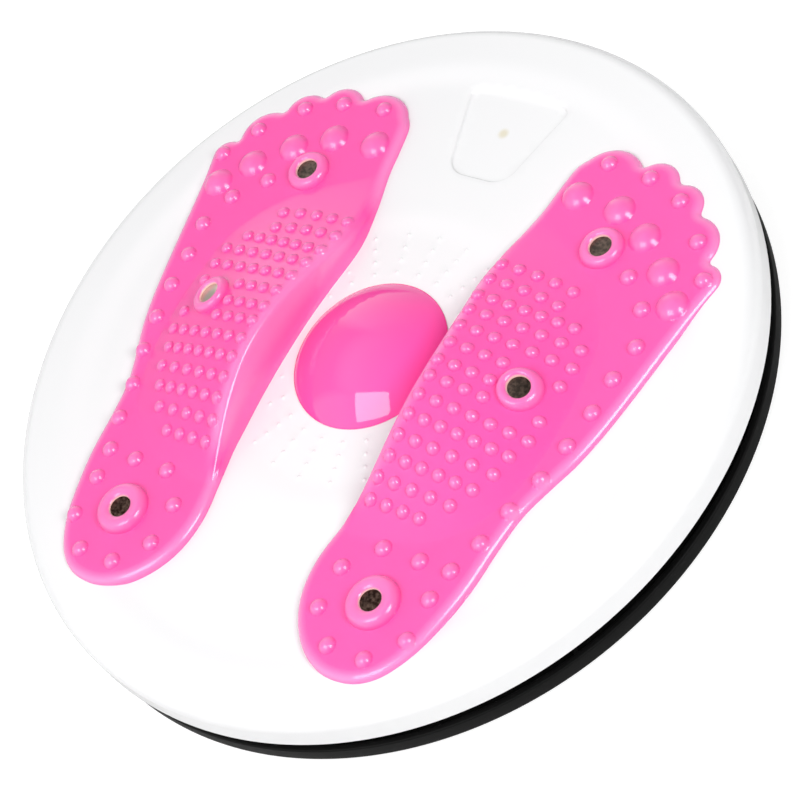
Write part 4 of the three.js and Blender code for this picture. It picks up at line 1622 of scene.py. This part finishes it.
    def build_shell(self) -> Any:
        """Model the rim, the skirt, the underside and the hub by turning their profile.

        Returns:
            The object.
        """
        centre = (self.radius - self.draft - self.shoulder, self.crown_z - self.shoulder)
        skirt_in = self.radius - self.skirt_wall
        edge = self.skirt_edge
        profile = [
            (self.join_radius, self.crown_z),
            (self.rim_flat, self.crown_z),
            *arc(centre, self.shoulder, 90, 0, 14),
            (self.radius - 0.02, self.skirt_z + 0.7),
            *arc((self.radius - edge, self.skirt_z + edge), edge, -10, -80, 4),
            (skirt_in + 0.5, self.skirt_z),
            (skirt_in, self.skirt_z + 0.5),
            (skirt_in, centre[1]),
            (skirt_in - 1.2, self.crown_z - 3.6),
            (self.rim_foot, self.under_z),
            *self.seat.walls(self.under_z, self.race_seat_z),
            (self.hub_radius + 1, self.under_z),
            (self.hub_radius, self.under_z - 1),
            (self.hub_radius, self.hub_z),
            (self.bore, self.hub_z),
            (self.bore, self.pocket_z),
            (self.pocket_radius, self.pocket_z),
            (self.pocket_radius, self.well_z),
        ]
        return lathe(profile, self.sides, closed=False)

    def build(self) -> None:
        """Build the platform as one piece, with ribs from the hub to the skirt."""
        shell = join([self.build_shell(), self.build_skin()])
        face_outwards(shell, 2 * TOUCH)
        rim = self.radius - 2 * self.skirt_wall
        ribs = self.seat.ribs(self.hub_radius - 1, rim, self.under_z - self.rib_height, self.under_z + 0.5)
        join([shell, *ribs])
        smooth(shell, 38)
        dress(shell, "white_platform", WHITE_ABS.material(), Body.TOP, "top_disc", "white_shell")


@dataclass
class CentreDome:
    """The pink cap over the pivot: a low polished dome with a small lip and a spigot under it."""

    radius: float = 29.2
    height: float = 11.5
    lip: float = 0.4
    seat_z: float = 27.3
    wall: float = 2.2
    spigot_radius: float = 15.2
    spigot_wall: float = 1.6
    spigot_depth: float = 4.0
    spigot_root: float = 0.4

    def cap(self, radius: float, height: float, low: float, steps: int) -> list[Pair]:
        """Return points of a shallow cap from its edge to the axis.

        Args:
            radius: the cap's radius at its edge.
            height: how far it rises.
            low: height of its edge.
            steps: number of pieces.

        Returns:
            Pairs of radius and height.
        """
        sphere = (radius**2 + height**2) / (2 * height)
        reach = math.asin(radius / sphere)
        angles = [reach * (1 - k / steps) for k in range(steps + 1)]
        return [(sphere * math.sin(a), low + sphere * math.cos(a) - (sphere - height)) for a in angles]

    def build(self) -> None:
        """Build the cap."""
        outer = self.cap(self.radius, self.height - self.lip, self.seat_z + self.lip, 28)
        inner = self.cap(self.radius - self.wall, self.height - self.wall, self.seat_z, 12)
        spigot_in = self.spigot_radius - self.spigot_wall
        below = [p for p in inner if p[0] > self.spigot_radius + 1]
        within = [p for p in inner if p[0] < spigot_in - 1]
        foot = self.seat_z - self.spigot_depth
        join_z = within[0][1] - self.spigot_root
        profile = [
            (0.0, within[-1][1]),
            *reversed([p for p in within if p[0] > TOUCH]),
            (spigot_in, join_z),
            (spigot_in, foot),
            (self.spigot_radius, foot),
            (self.spigot_radius, join_z),
            *reversed(below),
            (self.radius - self.lip, self.seat_z),
            *arc((self.radius - self.lip, self.seat_z + self.lip), self.lip, -80, 0, 3),
            (self.radius, self.seat_z + self.lip / 2),
            *outer[1:],
        ]
        obj = lathe(profile, 160)
        smooth(obj, 40)
        dress(obj, "pink_dome", PINK_ABS.material(), Body.TOP, "centre_dome", "pink_cap")


# Base


@dataclass
class Base:
    """The black disc that stands still, with its rim, race seat, hub and rubber feet."""

    radius: float = 139.2
    low: float = 2.0
    floor_z: float = 4.5
    rim_z: float = 8.3
    rim_wall: float = 2.5
    rim_round: float = 0.7
    low_round: float = 0.6
    hub_radius: float = 20.0
    hub_z: float = 16.4
    bore: float = 4.3
    recess_radius: float = 12.5
    recess_z: float = 7.2
    race_seat_z: float = 12.05
    rib_height: float = 3.0
    foot_radius: float = 12.0
    foot_round: float = 0.7
    foot_circle: float = 119.0
    foot_top: float = 3.0
    foot_seat: float = 2.0
    foot_play: float = 0.3
    foot_count: int = 6
    grooves: Triple = (3.4, 6.0, 8.6)
    seat: RaceSeat = RaceSeat()

    def build_disc(self) -> Any:
        """Model the disc by turning its profile, and cut the seats of the feet.

        Returns:
            The object.
        """
        rim_in = self.radius - self.rim_wall
        low, high = self.low_round, self.rim_round
        profile = [
            (self.bore, self.recess_z),
            (self.recess_radius, self.recess_z),
            (self.recess_radius, self.low),
            (self.radius - 0.8, self.low),
            *arc((self.radius - low, self.low + low), low, -80, 0, 5),
            *arc((self.radius - high, self.rim_z - high), high, 0, 90, 5),
            (rim_in + 0.4, self.rim_z),
            (rim_in, self.rim_z - 0.4),
            (rim_in, self.floor_z),
            *self.seat.walls(self.floor_z, self.race_seat_z),
            (self.hub_radius, self.floor_z),
            (self.hub_radius, self.hub_z),
            (self.bore, self.hub_z),
        ]
        disc = lathe(profile, 240)
        for x, y in self.foot_places():
            middle = (x, y, self.foot_top - self.foot_seat / 2)
            combine(disc, cylinder(self.foot_radius + self.foot_play, self.foot_seat, middle, 64))
        return disc

    def foot_places(self) -> np.ndarray:
        """Return where the feet stand."""
        return ring(self.foot_circle, self.foot_count, 0.5)

    def build_foot(self) -> Any:
        """Model one rubber foot, with a rounded edge and rings under it for grip.

        Returns:
            The object.
        """
        edge, soft = self.foot_radius, self.foot_round
        profile = [(0.0, 0.0), (2.0, 0.0)]
        for r in self.grooves:
            profile += [(r, 0.0), (r + 0.35, 0.5), (r + 0.95, 0.5), (r + 1.3, 0.0)]
        profile += [
            (edge - 0.8, 0.0),
            *arc((edge - soft, soft), soft, -80, 0, 4),
            (edge, self.foot_top - 0.3),
            (edge - 0.3, self.foot_top),
            (0.0, self.foot_top),
        ]
        foot = lathe(profile, 64)
        smooth(foot, 40)
        return foot

    def build(self) -> None:
        """Build the base disc, its ribs and its feet."""
        disc = self.build_disc()
        hub, rim = self.hub_radius - 1, self.radius - self.rim_wall + 0.8
        join([disc, *self.seat.ribs(hub, rim, self.floor_z - 0.5, self.floor_z + self.rib_height)])
        smooth(disc, 38)
        dress(disc, "black_base", BLACK_ABS.material(), Body.BASE, "base_disc", "black_base")
        rubber = BLACK_RUBBER.material()
        for k, foot in enumerate(copies_at(self.build_foot(), self.foot_places(), 0.0), 1):
            dress(foot, f"rubber_foot_piece_{k}", rubber, Body.BASE, f"rubber_foot_{k}", "black_foot")


# Bearing and pivot


@dataclass
class Bearing:
    """The ball bearing between the discs: two pressed races, a cage and its balls."""

    circle: float = 100.0
    ball_radius: float = 5.0
    ball_z: float = 14.9
    gap: float = 0.35
    wall: float = 1.2
    half_width: float = 9.0
    flange: float = 1.65
    groove_soft: float = 0.25
    back_soft: float = 0.2
    cage_half: float = 7.0
    cage_thickness: float = 2.4
    cage_bevel: float = 0.25
    count: int = 12

    def race_profile(self) -> list[Pair]:
        """Return the lower race's section: a round groove between two flat flanges.

        Returns:
            Pairs of radius and height.
        """
        inner = self.ball_radius + self.gap
        outer = inner + self.wall
        spread = math.degrees(math.acos((self.flange + self.groove_soft) / inner))
        under = math.degrees(math.acos((self.flange + self.wall + self.back_soft) / outer))
        centre = (self.circle, self.ball_z)
        low, high = self.ball_z - self.flange - self.wall, self.ball_z - self.flange
        return [
            (self.circle - self.half_width, low),
            *arc(centre, outer, -90 - under, -90 + under, 16),
            (self.circle + self.half_width, low),
            (self.circle + self.half_width, high),
            *arc(centre, inner, -90 + spread, -90 - spread, 16),
            (self.circle - self.half_width, high),
        ]

    def build_cage(self) -> Any:
        """Model the cage: a flat ring with a pocket for each ball.

        Returns:
            The object.
        """
        low, high = self.ball_z - self.cage_thickness / 2, self.ball_z + self.cage_thickness / 2
        inner, outer = self.circle - self.cage_half, self.circle + self.cage_half
        cage = lathe([(inner, low), (outer, low), (outer, high), (inner, high)], 180)
        for x, y in ring(self.circle, self.count):
            combine(cage, cylinder(self.ball_radius + self.gap, 4.0, (x, y, self.ball_z), 40))
        bevel(cage, self.cage_bevel, angle=60)
        smooth(cage, 40)
        return cage

    def build_ball(self) -> Any:
        """Model one ball, on the pivot.

        Returns:
            The object.
        """
        bpy.ops.object.select_all(action="DESELECT")
        radius = self.ball_radius * MM
        bpy.ops.mesh.primitive_ico_sphere_add(subdivisions=4, radius=radius, location=(0, 0, 0))
        ball = bpy.context.object
        smooth(ball, 60)
        return ball

    def build(self) -> None:
        """Build the races, the cage and the balls."""
        steel = PRESSED_STEEL.material()
        lower = lathe(self.race_profile(), 180)
        smooth(lower, 30)
        upper = copy_of(lower)
        upper.scale = (1, 1, -1)
        upper.location = (0, 0, 2 * self.ball_z * MM)
        settle(upper)
        face_outwards(upper)
        dress(lower, "lower_race_ring", steel, Body.BASE, "lower_ball_race", "race_steel")
        dress(upper, "upper_race_ring", steel, Body.TOP, "upper_ball_race", "race_steel")
        acetal = NATURAL_ACETAL.material()
        dress(self.build_cage(), "cage_ring", acetal, Body.CAGE, "ball_cage", "natural_plastic")
        polished = BALL_STEEL.material()
        places = ring(self.circle, self.count)
        for k, ball in enumerate(copies_at(self.build_ball(), places, self.ball_z), 1):
            dress(ball, f"steel_ball_{k:02d}", polished, Body.CAGE, f"ball_{k:02d}", "ball_steel")


@dataclass
class Pivot:
    """The bolt that holds the discs together, with its washers, bush and lock nut.

    A washer is told by its name, its outer radius and its lower and upper height.
    """

    shank: float = 4.0
    clearance: float = 0.3
    head_radius: float = 10.0
    head_round: float = 1.1
    head_low: float = 2.7
    head_high: float = 5.7
    tip_z: float = 33.5
    thread_start: float = 22.3
    thread_end: float = 32.9
    thread_pitch: float = 1.25
    thread_root: Pair = (0.55, 0.45)
    thread_crest: Pair = (0.05, 0.95)
    tip_chamfer: float = 0.7
    socket_radius: float = 3.5
    socket_depth: float = 2.0
    nut_flats: float = 13.0
    nut_bevel: float = 0.5
    nut_low: float = 24.3
    nut_high: float = 32.3
    collar_height: float = 2.0
    collar_radius: float = 5.6
    collar_round: float = 0.8
    steel_washers: tuple[tuple, ...] = (("head_washer", 10.5, 5.7, 7.2), ("nut_washer", 10.5, 22.8, 24.3))
    plastic_washers: tuple[tuple, ...] = (("thrust_washer", 17.0, 16.4, 17.6),)
    bush: tuple[Pair, ...] = (
        (4.3, 17.9), (6.7, 17.9), (6.7, 21.3), (9.8, 21.3),
        (10.0, 21.5), (10.0, 22.3), (9.8, 22.5), (4.3, 22.5),
    )

    def build_washer(self, outer: float, low: float, high: float) -> Any:
        """Model a washer with its edges rounded as stamping leaves them.

        Args:
            outer: its outer radius.
            low: height of its lower face.
            high: height of its upper face.

        Returns:
            The object.
        """
        bore = self.shank + self.clearance
        soft = min(0.25, (high - low) / 4)
        profile = [
            (bore, low + soft),
            (bore + soft, low),
            (outer - soft, low),
            (outer, low + soft),
            (outer, high - soft),
            (outer - soft, high),
            (bore + soft, high),
            (bore, high - soft),
        ]
        obj = lathe(profile, 96)
        smooth(obj, 50)
        return obj

    def build_bolt(self) -> Any:
        """Model the bolt: a low round head with a hexagon socket, and a shank with rolled thread.

        Returns:
            The object.
        """
        head, soft = self.head_radius, self.head_round
        z = self.thread_start
        profile = [
            (0.0, self.head_low),
            (head - 1.2, self.head_low),
            *arc((head - soft, self.head_low + soft), soft, -80, 0, 5),
            (head, self.head_high),
            (self.shank, self.head_high),
            (self.shank, z),
        ]
        while z + self.thread_pitch < self.thread_end:
            for depth, share in (self.thread_root, self.thread_crest):
                profile.append((self.shank - depth, z + self.thread_pitch * share))
            z += self.thread_pitch
        profile += [(self.shank - self.tip_chamfer, self.tip_z), (0.0, self.tip_z)]
        bolt = lathe(profile, 64)
        below = self.head_low - 1.0
        middle = (0, 0, below + (self.socket_depth + 1.0) / 2)
        combine(bolt, cylinder(self.socket_radius, self.socket_depth + 1.0, middle, 6))
        smooth(bolt, 35)
        return bolt

    def build_nut(self) -> Any:
        """Model the lock nut: a hexagon with a rounded collar.

        Returns:
            The object.
        """
        height = self.nut_high - self.nut_low
        middle = self.nut_low + height / 2
        lower = height - self.collar_height
        nut = cylinder(self.nut_flats / math.sqrt(3), lower, (0, 0, self.nut_low + lower / 2), 6)
        settle(nut)
        bevel(nut, self.nut_bevel, 3)
        foot = self.nut_high - self.collar_height - 1
        bend_at = (self.collar_radius - self.collar_round, self.nut_high - self.collar_round)
        rounding = arc(bend_at, self.collar_round, 0, 90, 4)
        collar = lathe([(0.0, foot), (self.collar_radius, foot), *rounding, (0.0, self.nut_high)], 48)
        combine(nut, collar, "UNION")
        combine(nut, cylinder(self.shank + self.clearance, 3 * height, (0, 0, middle), 48))
        smooth(nut, 30)
        return nut

    def build_bush(self) -> Any:
        """Model the bush in the platform's hub, with its flange.

        Returns:
            The object.
        """
        obj = lathe(self.bush, 96)
        smooth(obj, 30)
        return obj

    def build(self) -> None:
        """Build every piece of the pivot."""
        steel = (PRESSED_STEEL.material(), Body.BASE)
        acetal = NATURAL_ACETAL.material()
        dress(self.build_bolt(), "pivot_bolt_piece", *steel, "pivot_bolt", "fastener_steel")
        dress(self.build_nut(), "lock_nut_piece", *steel, "lock_nut", "fastener_steel")
        for name, *size in self.steel_washers:
            dress(self.build_washer(*size), f"{name}_piece", *steel, name, "fastener_steel")
        for name, *size in self.plastic_washers:
            dress(self.build_washer(*size), f"{name}_piece", acetal, Body.BASE, name, "natural_plastic")
        dress(self.build_bush(), "bush_piece", acetal, Body.TOP, "pivot_bush", "natural_plastic")


# Studio


def toward(azimuth: float, elevation: float) -> Vector:
    """Return a direction from its degrees from +X towards +Y and its degrees of height."""
    a, e = math.radians(azimuth), math.radians(elevation)
    return Vector((math.cos(a) * math.cos(e), math.sin(a) * math.cos(e), math.sin(e)))


def facing(tree: Any, azimuth: float, elevation: float) -> Any:
    """Return the world's socket with the cosine between what is looked at and a direction."""
    links = {0: place_in(tree, "Generated"), 1: tuple(toward(azimuth, elevation))}
    return add_node(tree, "ShaderNodeVectorMath", links, operation="DOT_PRODUCT").outputs["Value"]


def beyond(tree: Any, value: Any, place: float, blur: float) -> Any:
    """Return a mask that goes from 0 to 1 where a value passes a place, or back if the blur is negative."""
    return ramp(tree, value, (place - blur, place + blur))


def raised(tree: Any, value: Any, mask: Any, gain: float) -> Any:
    """Return the socket of a value that is raised by a share where a mask is 1."""
    return reckoned(tree, "MULTIPLY", value, reckoned(tree, "MULTIPLY_ADD", mask, gain, 1.0))


def shader(tree: Any, kind: str, links: dict) -> Any:
    """Return the socket of a shader node."""
    return add_node(tree, kind, links).outputs[0]


def grey(level: float) -> tuple[float, float, float, float]:
    """Return a linear grey."""
    return level, level, level, 1.0


@dataclass(frozen=True)
class Softbox:
    """A soft lamp that looks at the disc: its way in degrees, size and distance in metres, and watts."""

    name: str
    way: Pair
    size: Pair
    distance: float
    power: float
    twist: float = 0.0

    def build(self) -> None:
        """Place the lamp."""
        data = bpy.data.lights.new(self.name, "AREA")
        data.shape = "RECTANGLE"
        data.size, data.size_y = self.size
        data.energy = self.power
        lamp = bpy.data.objects.new(self.name, data)
        way = toward(*self.way)
        lamp.location = way * self.distance
        turn = way.to_track_quat("Z", "Y") @ Quaternion((0, 0, 1), math.radians(self.twist))
        lamp.rotation_euler = turn.to_euler()
        bpy.context.scene.collection.objects.link(lamp)


@dataclass
class Studio:
    """The camera at the photograph's angle, two soft lamps, the pale world and the floor."""

    azimuth: float = 64.16
    elevation: float = 48.33
    roll: float = -39.69
    distance: float = 997.56
    focal_pixels: float = 2877.55
    frame_pixels: float = 800.0
    sensor: float = 36.0
    offset: Pair = (-14.13, -25.47)
    target_z: float = 14.9
    lamps: tuple[Softbox, ...] = (
        Softbox("main softbox", (-83.0, 56.5), (0.72, 0.56), 1.25, 7.6, 11.0),
        Softbox("side softbox", (6.0, 40.0), (0.64, 0.75), 1.7, 18.3),
    )
    bright_azimuth: float = -160.0
    room_span: Pair = (-0.5, 0.65)
    room_range: Pair = (0.0, 1.4)
    fill_span: Pair = (0.0, 0.75)
    fill_range: Pair = (0.13, 1.1)
    backdrop_way: Pair = (86.4, -32.5)
    backdrop_blur: float = 0.025
    backdrop_top: float = 45.0
    backdrop_gain: float = 0.2
    shade_top: float = 50.0
    shade_half: float = 0.42
    shade_blur: float = 0.06
    shade_loss: float = -0.65
    floor_size: float = 40.0
    paper: float = 0.42
    paper_glow: float = 0.74
    floor_light: float = 0.8

    def build_camera(self) -> None:
        """Place the camera, turned and shifted as the photograph was framed."""
        a, e, t = (math.radians(v) for v in (self.azimuth, self.elevation, self.roll))
        back = Vector((math.sin(a) * math.cos(e), -math.cos(a) * math.cos(e), math.sin(e)))
        level = Vector((math.cos(a), math.sin(a), 0))
        up = back.cross(level)
        right = math.cos(t) * level + math.sin(t) * up
        above = -math.sin(t) * level + math.cos(t) * up
        data = bpy.data.cameras.new("photograph")
        data.sensor_width = self.sensor
        data.lens = self.focal_pixels * self.sensor / self.frame_pixels
        data.shift_x = -self.offset[0] / self.frame_pixels
        data.shift_y = self.offset[1] / self.frame_pixels
        data.clip_start = 0.05
        camera = bpy.data.objects.new("photograph", data)
        turn = Matrix((right, above, back)).transposed().to_4x4()
        place = back * self.distance * MM + Vector((0, 0, self.target_z * MM))
        camera.matrix_world = Matrix.Translation(place) @ turn
        bpy.context.scene.collection.objects.link(camera)
        bpy.context.scene.camera = camera

    def build_world(self) -> None:
        """Make the world: soft light from one side, white to the camera, a studio in the reflections."""
        world = bpy.data.worlds.new("studio")
        world.use_nodes = True
        bpy.context.scene.world = world
        tree = world.node_tree
        tree.nodes.clear()
        path = add_node(tree, "ShaderNodeLightPath").outputs
        mirrored = reckoned(tree, "MAXIMUM", path["Is Glossy Ray"], path["Is Transmission Ray"])
        colours = (self.pale_side(tree, self.fill_span, self.fill_range), grey(1.0), self.reflected(tree))
        light, white, studio = (shader(tree, "ShaderNodeBackground", {"Color": c}) for c in colours)
        lit = shader(tree, "ShaderNodeMixShader", {0: mirrored, 1: light, 2: studio})
        seen = shader(tree, "ShaderNodeMixShader", {0: path["Is Camera Ray"], 1: lit, 2: white})
        add_node(tree, "ShaderNodeOutputWorld", {"Surface": seen})

    def pale_side(self, tree: Any, span: Pair, levels: Pair) -> Any:
        """Draw the room round the disc: pale on one side, dimming to the other.

        Args:
            tree: the world's node tree.
            span: how far towards the pale side it starts to brighten, and ends to, as cosines.
            levels: the brightness before and beyond that.

        Returns:
            The socket with the brightness.
        """
        return ramp(tree, facing(tree, self.bright_azimuth, 0), span, levels)

    def reflected(self, tree: Any) -> Any:
        """Draw what glossy surfaces reflect: the room, a backdrop in it and a dimmer part.

        Args:
            tree: the world's node tree.

        Returns:
            The socket with the brightness.
        """
        room = self.pale_side(tree, self.room_span, self.room_range)
        parts = add_node(tree, "ShaderNodeSeparateXYZ", {0: place_in(tree, "Generated")}).outputs
        top, ceiling = (math.sin(math.radians(v)) for v in (self.backdrop_top, self.shade_top))
        ahead = beyond(tree, facing(tree, *self.backdrop_way), 0.0, self.backdrop_blur)
        backdrop = reckoned(tree, "MINIMUM", ahead, beyond(tree, parts["Z"], top, -0.02))
        shade = beyond(tree, parts["Y"], self.shade_half, -self.shade_blur)
        for axis, place, blur in (
            ("Y", -self.shade_half, self.shade_blur), ("Z", ceiling, -0.1), ("X", 0.0, -0.1),
        ):
            shade = reckoned(tree, "MINIMUM", shade, beyond(tree, parts[axis], place, blur))
        return raised(tree, raised(tree, room, backdrop, self.backdrop_gain), shade, self.shade_loss)

    def build_floor(self) -> None:
        """Lay the floor, which keeps the disc's shadow and is white to the camera elsewhere."""
        bpy.ops.object.select_all(action="DESELECT")
        bpy.ops.mesh.primitive_plane_add(size=self.floor_size, location=(0, 0, 0))
        floor = bpy.context.object
        floor.name = "studio_floor"
        material = bpy.data.materials.new("white paper, matt")
        material.use_nodes = True
        tree = material.node_tree
        tree.nodes.clear()
        to_camera = add_node(tree, "ShaderNodeLightPath").outputs["Is Camera Ray"]
        paper = shader(tree, "ShaderNodeBsdfDiffuse", {"Color": grey(self.paper)})
        glow = shader(tree, "ShaderNodeEmission", {"Color": grey(1.0), "Strength": self.paper_glow})
        plain = shader(tree, "ShaderNodeBsdfDiffuse", {"Color": grey(self.floor_light)})
        seen = shader(tree, "ShaderNodeAddShader", {0: paper, 1: glow})
        mix = shader(tree, "ShaderNodeMixShader", {0: to_camera, 1: plain, 2: seen})
        add_node(tree, "ShaderNodeOutputMaterial", {"Surface": mix})
        floor.data.materials.append(material)

    def build(self) -> None:
        """Build the whole studio."""
        self.build_camera()
        for lamp in self.lamps:
            lamp.build()
        self.build_world()
        self.build_floor()
        bpy.context.scene.view_settings.view_transform = "Standard"


def main() -> None:
    """Build the disc in order, from the studio and the base up to the pads."""
    logging.basicConfig(level=logging.INFO, format="%(name)s: %(message)s")
    Studio().build()
    Base().build()
    Bearing().build()
    Pivot().build()
    pads = FootPads()
    Platform(pads=[pads.outline, pads.outline * (-1, 1)]).build()
    CentreDome().build()
    pads.build()


if __name__ == "__main__":
    main()
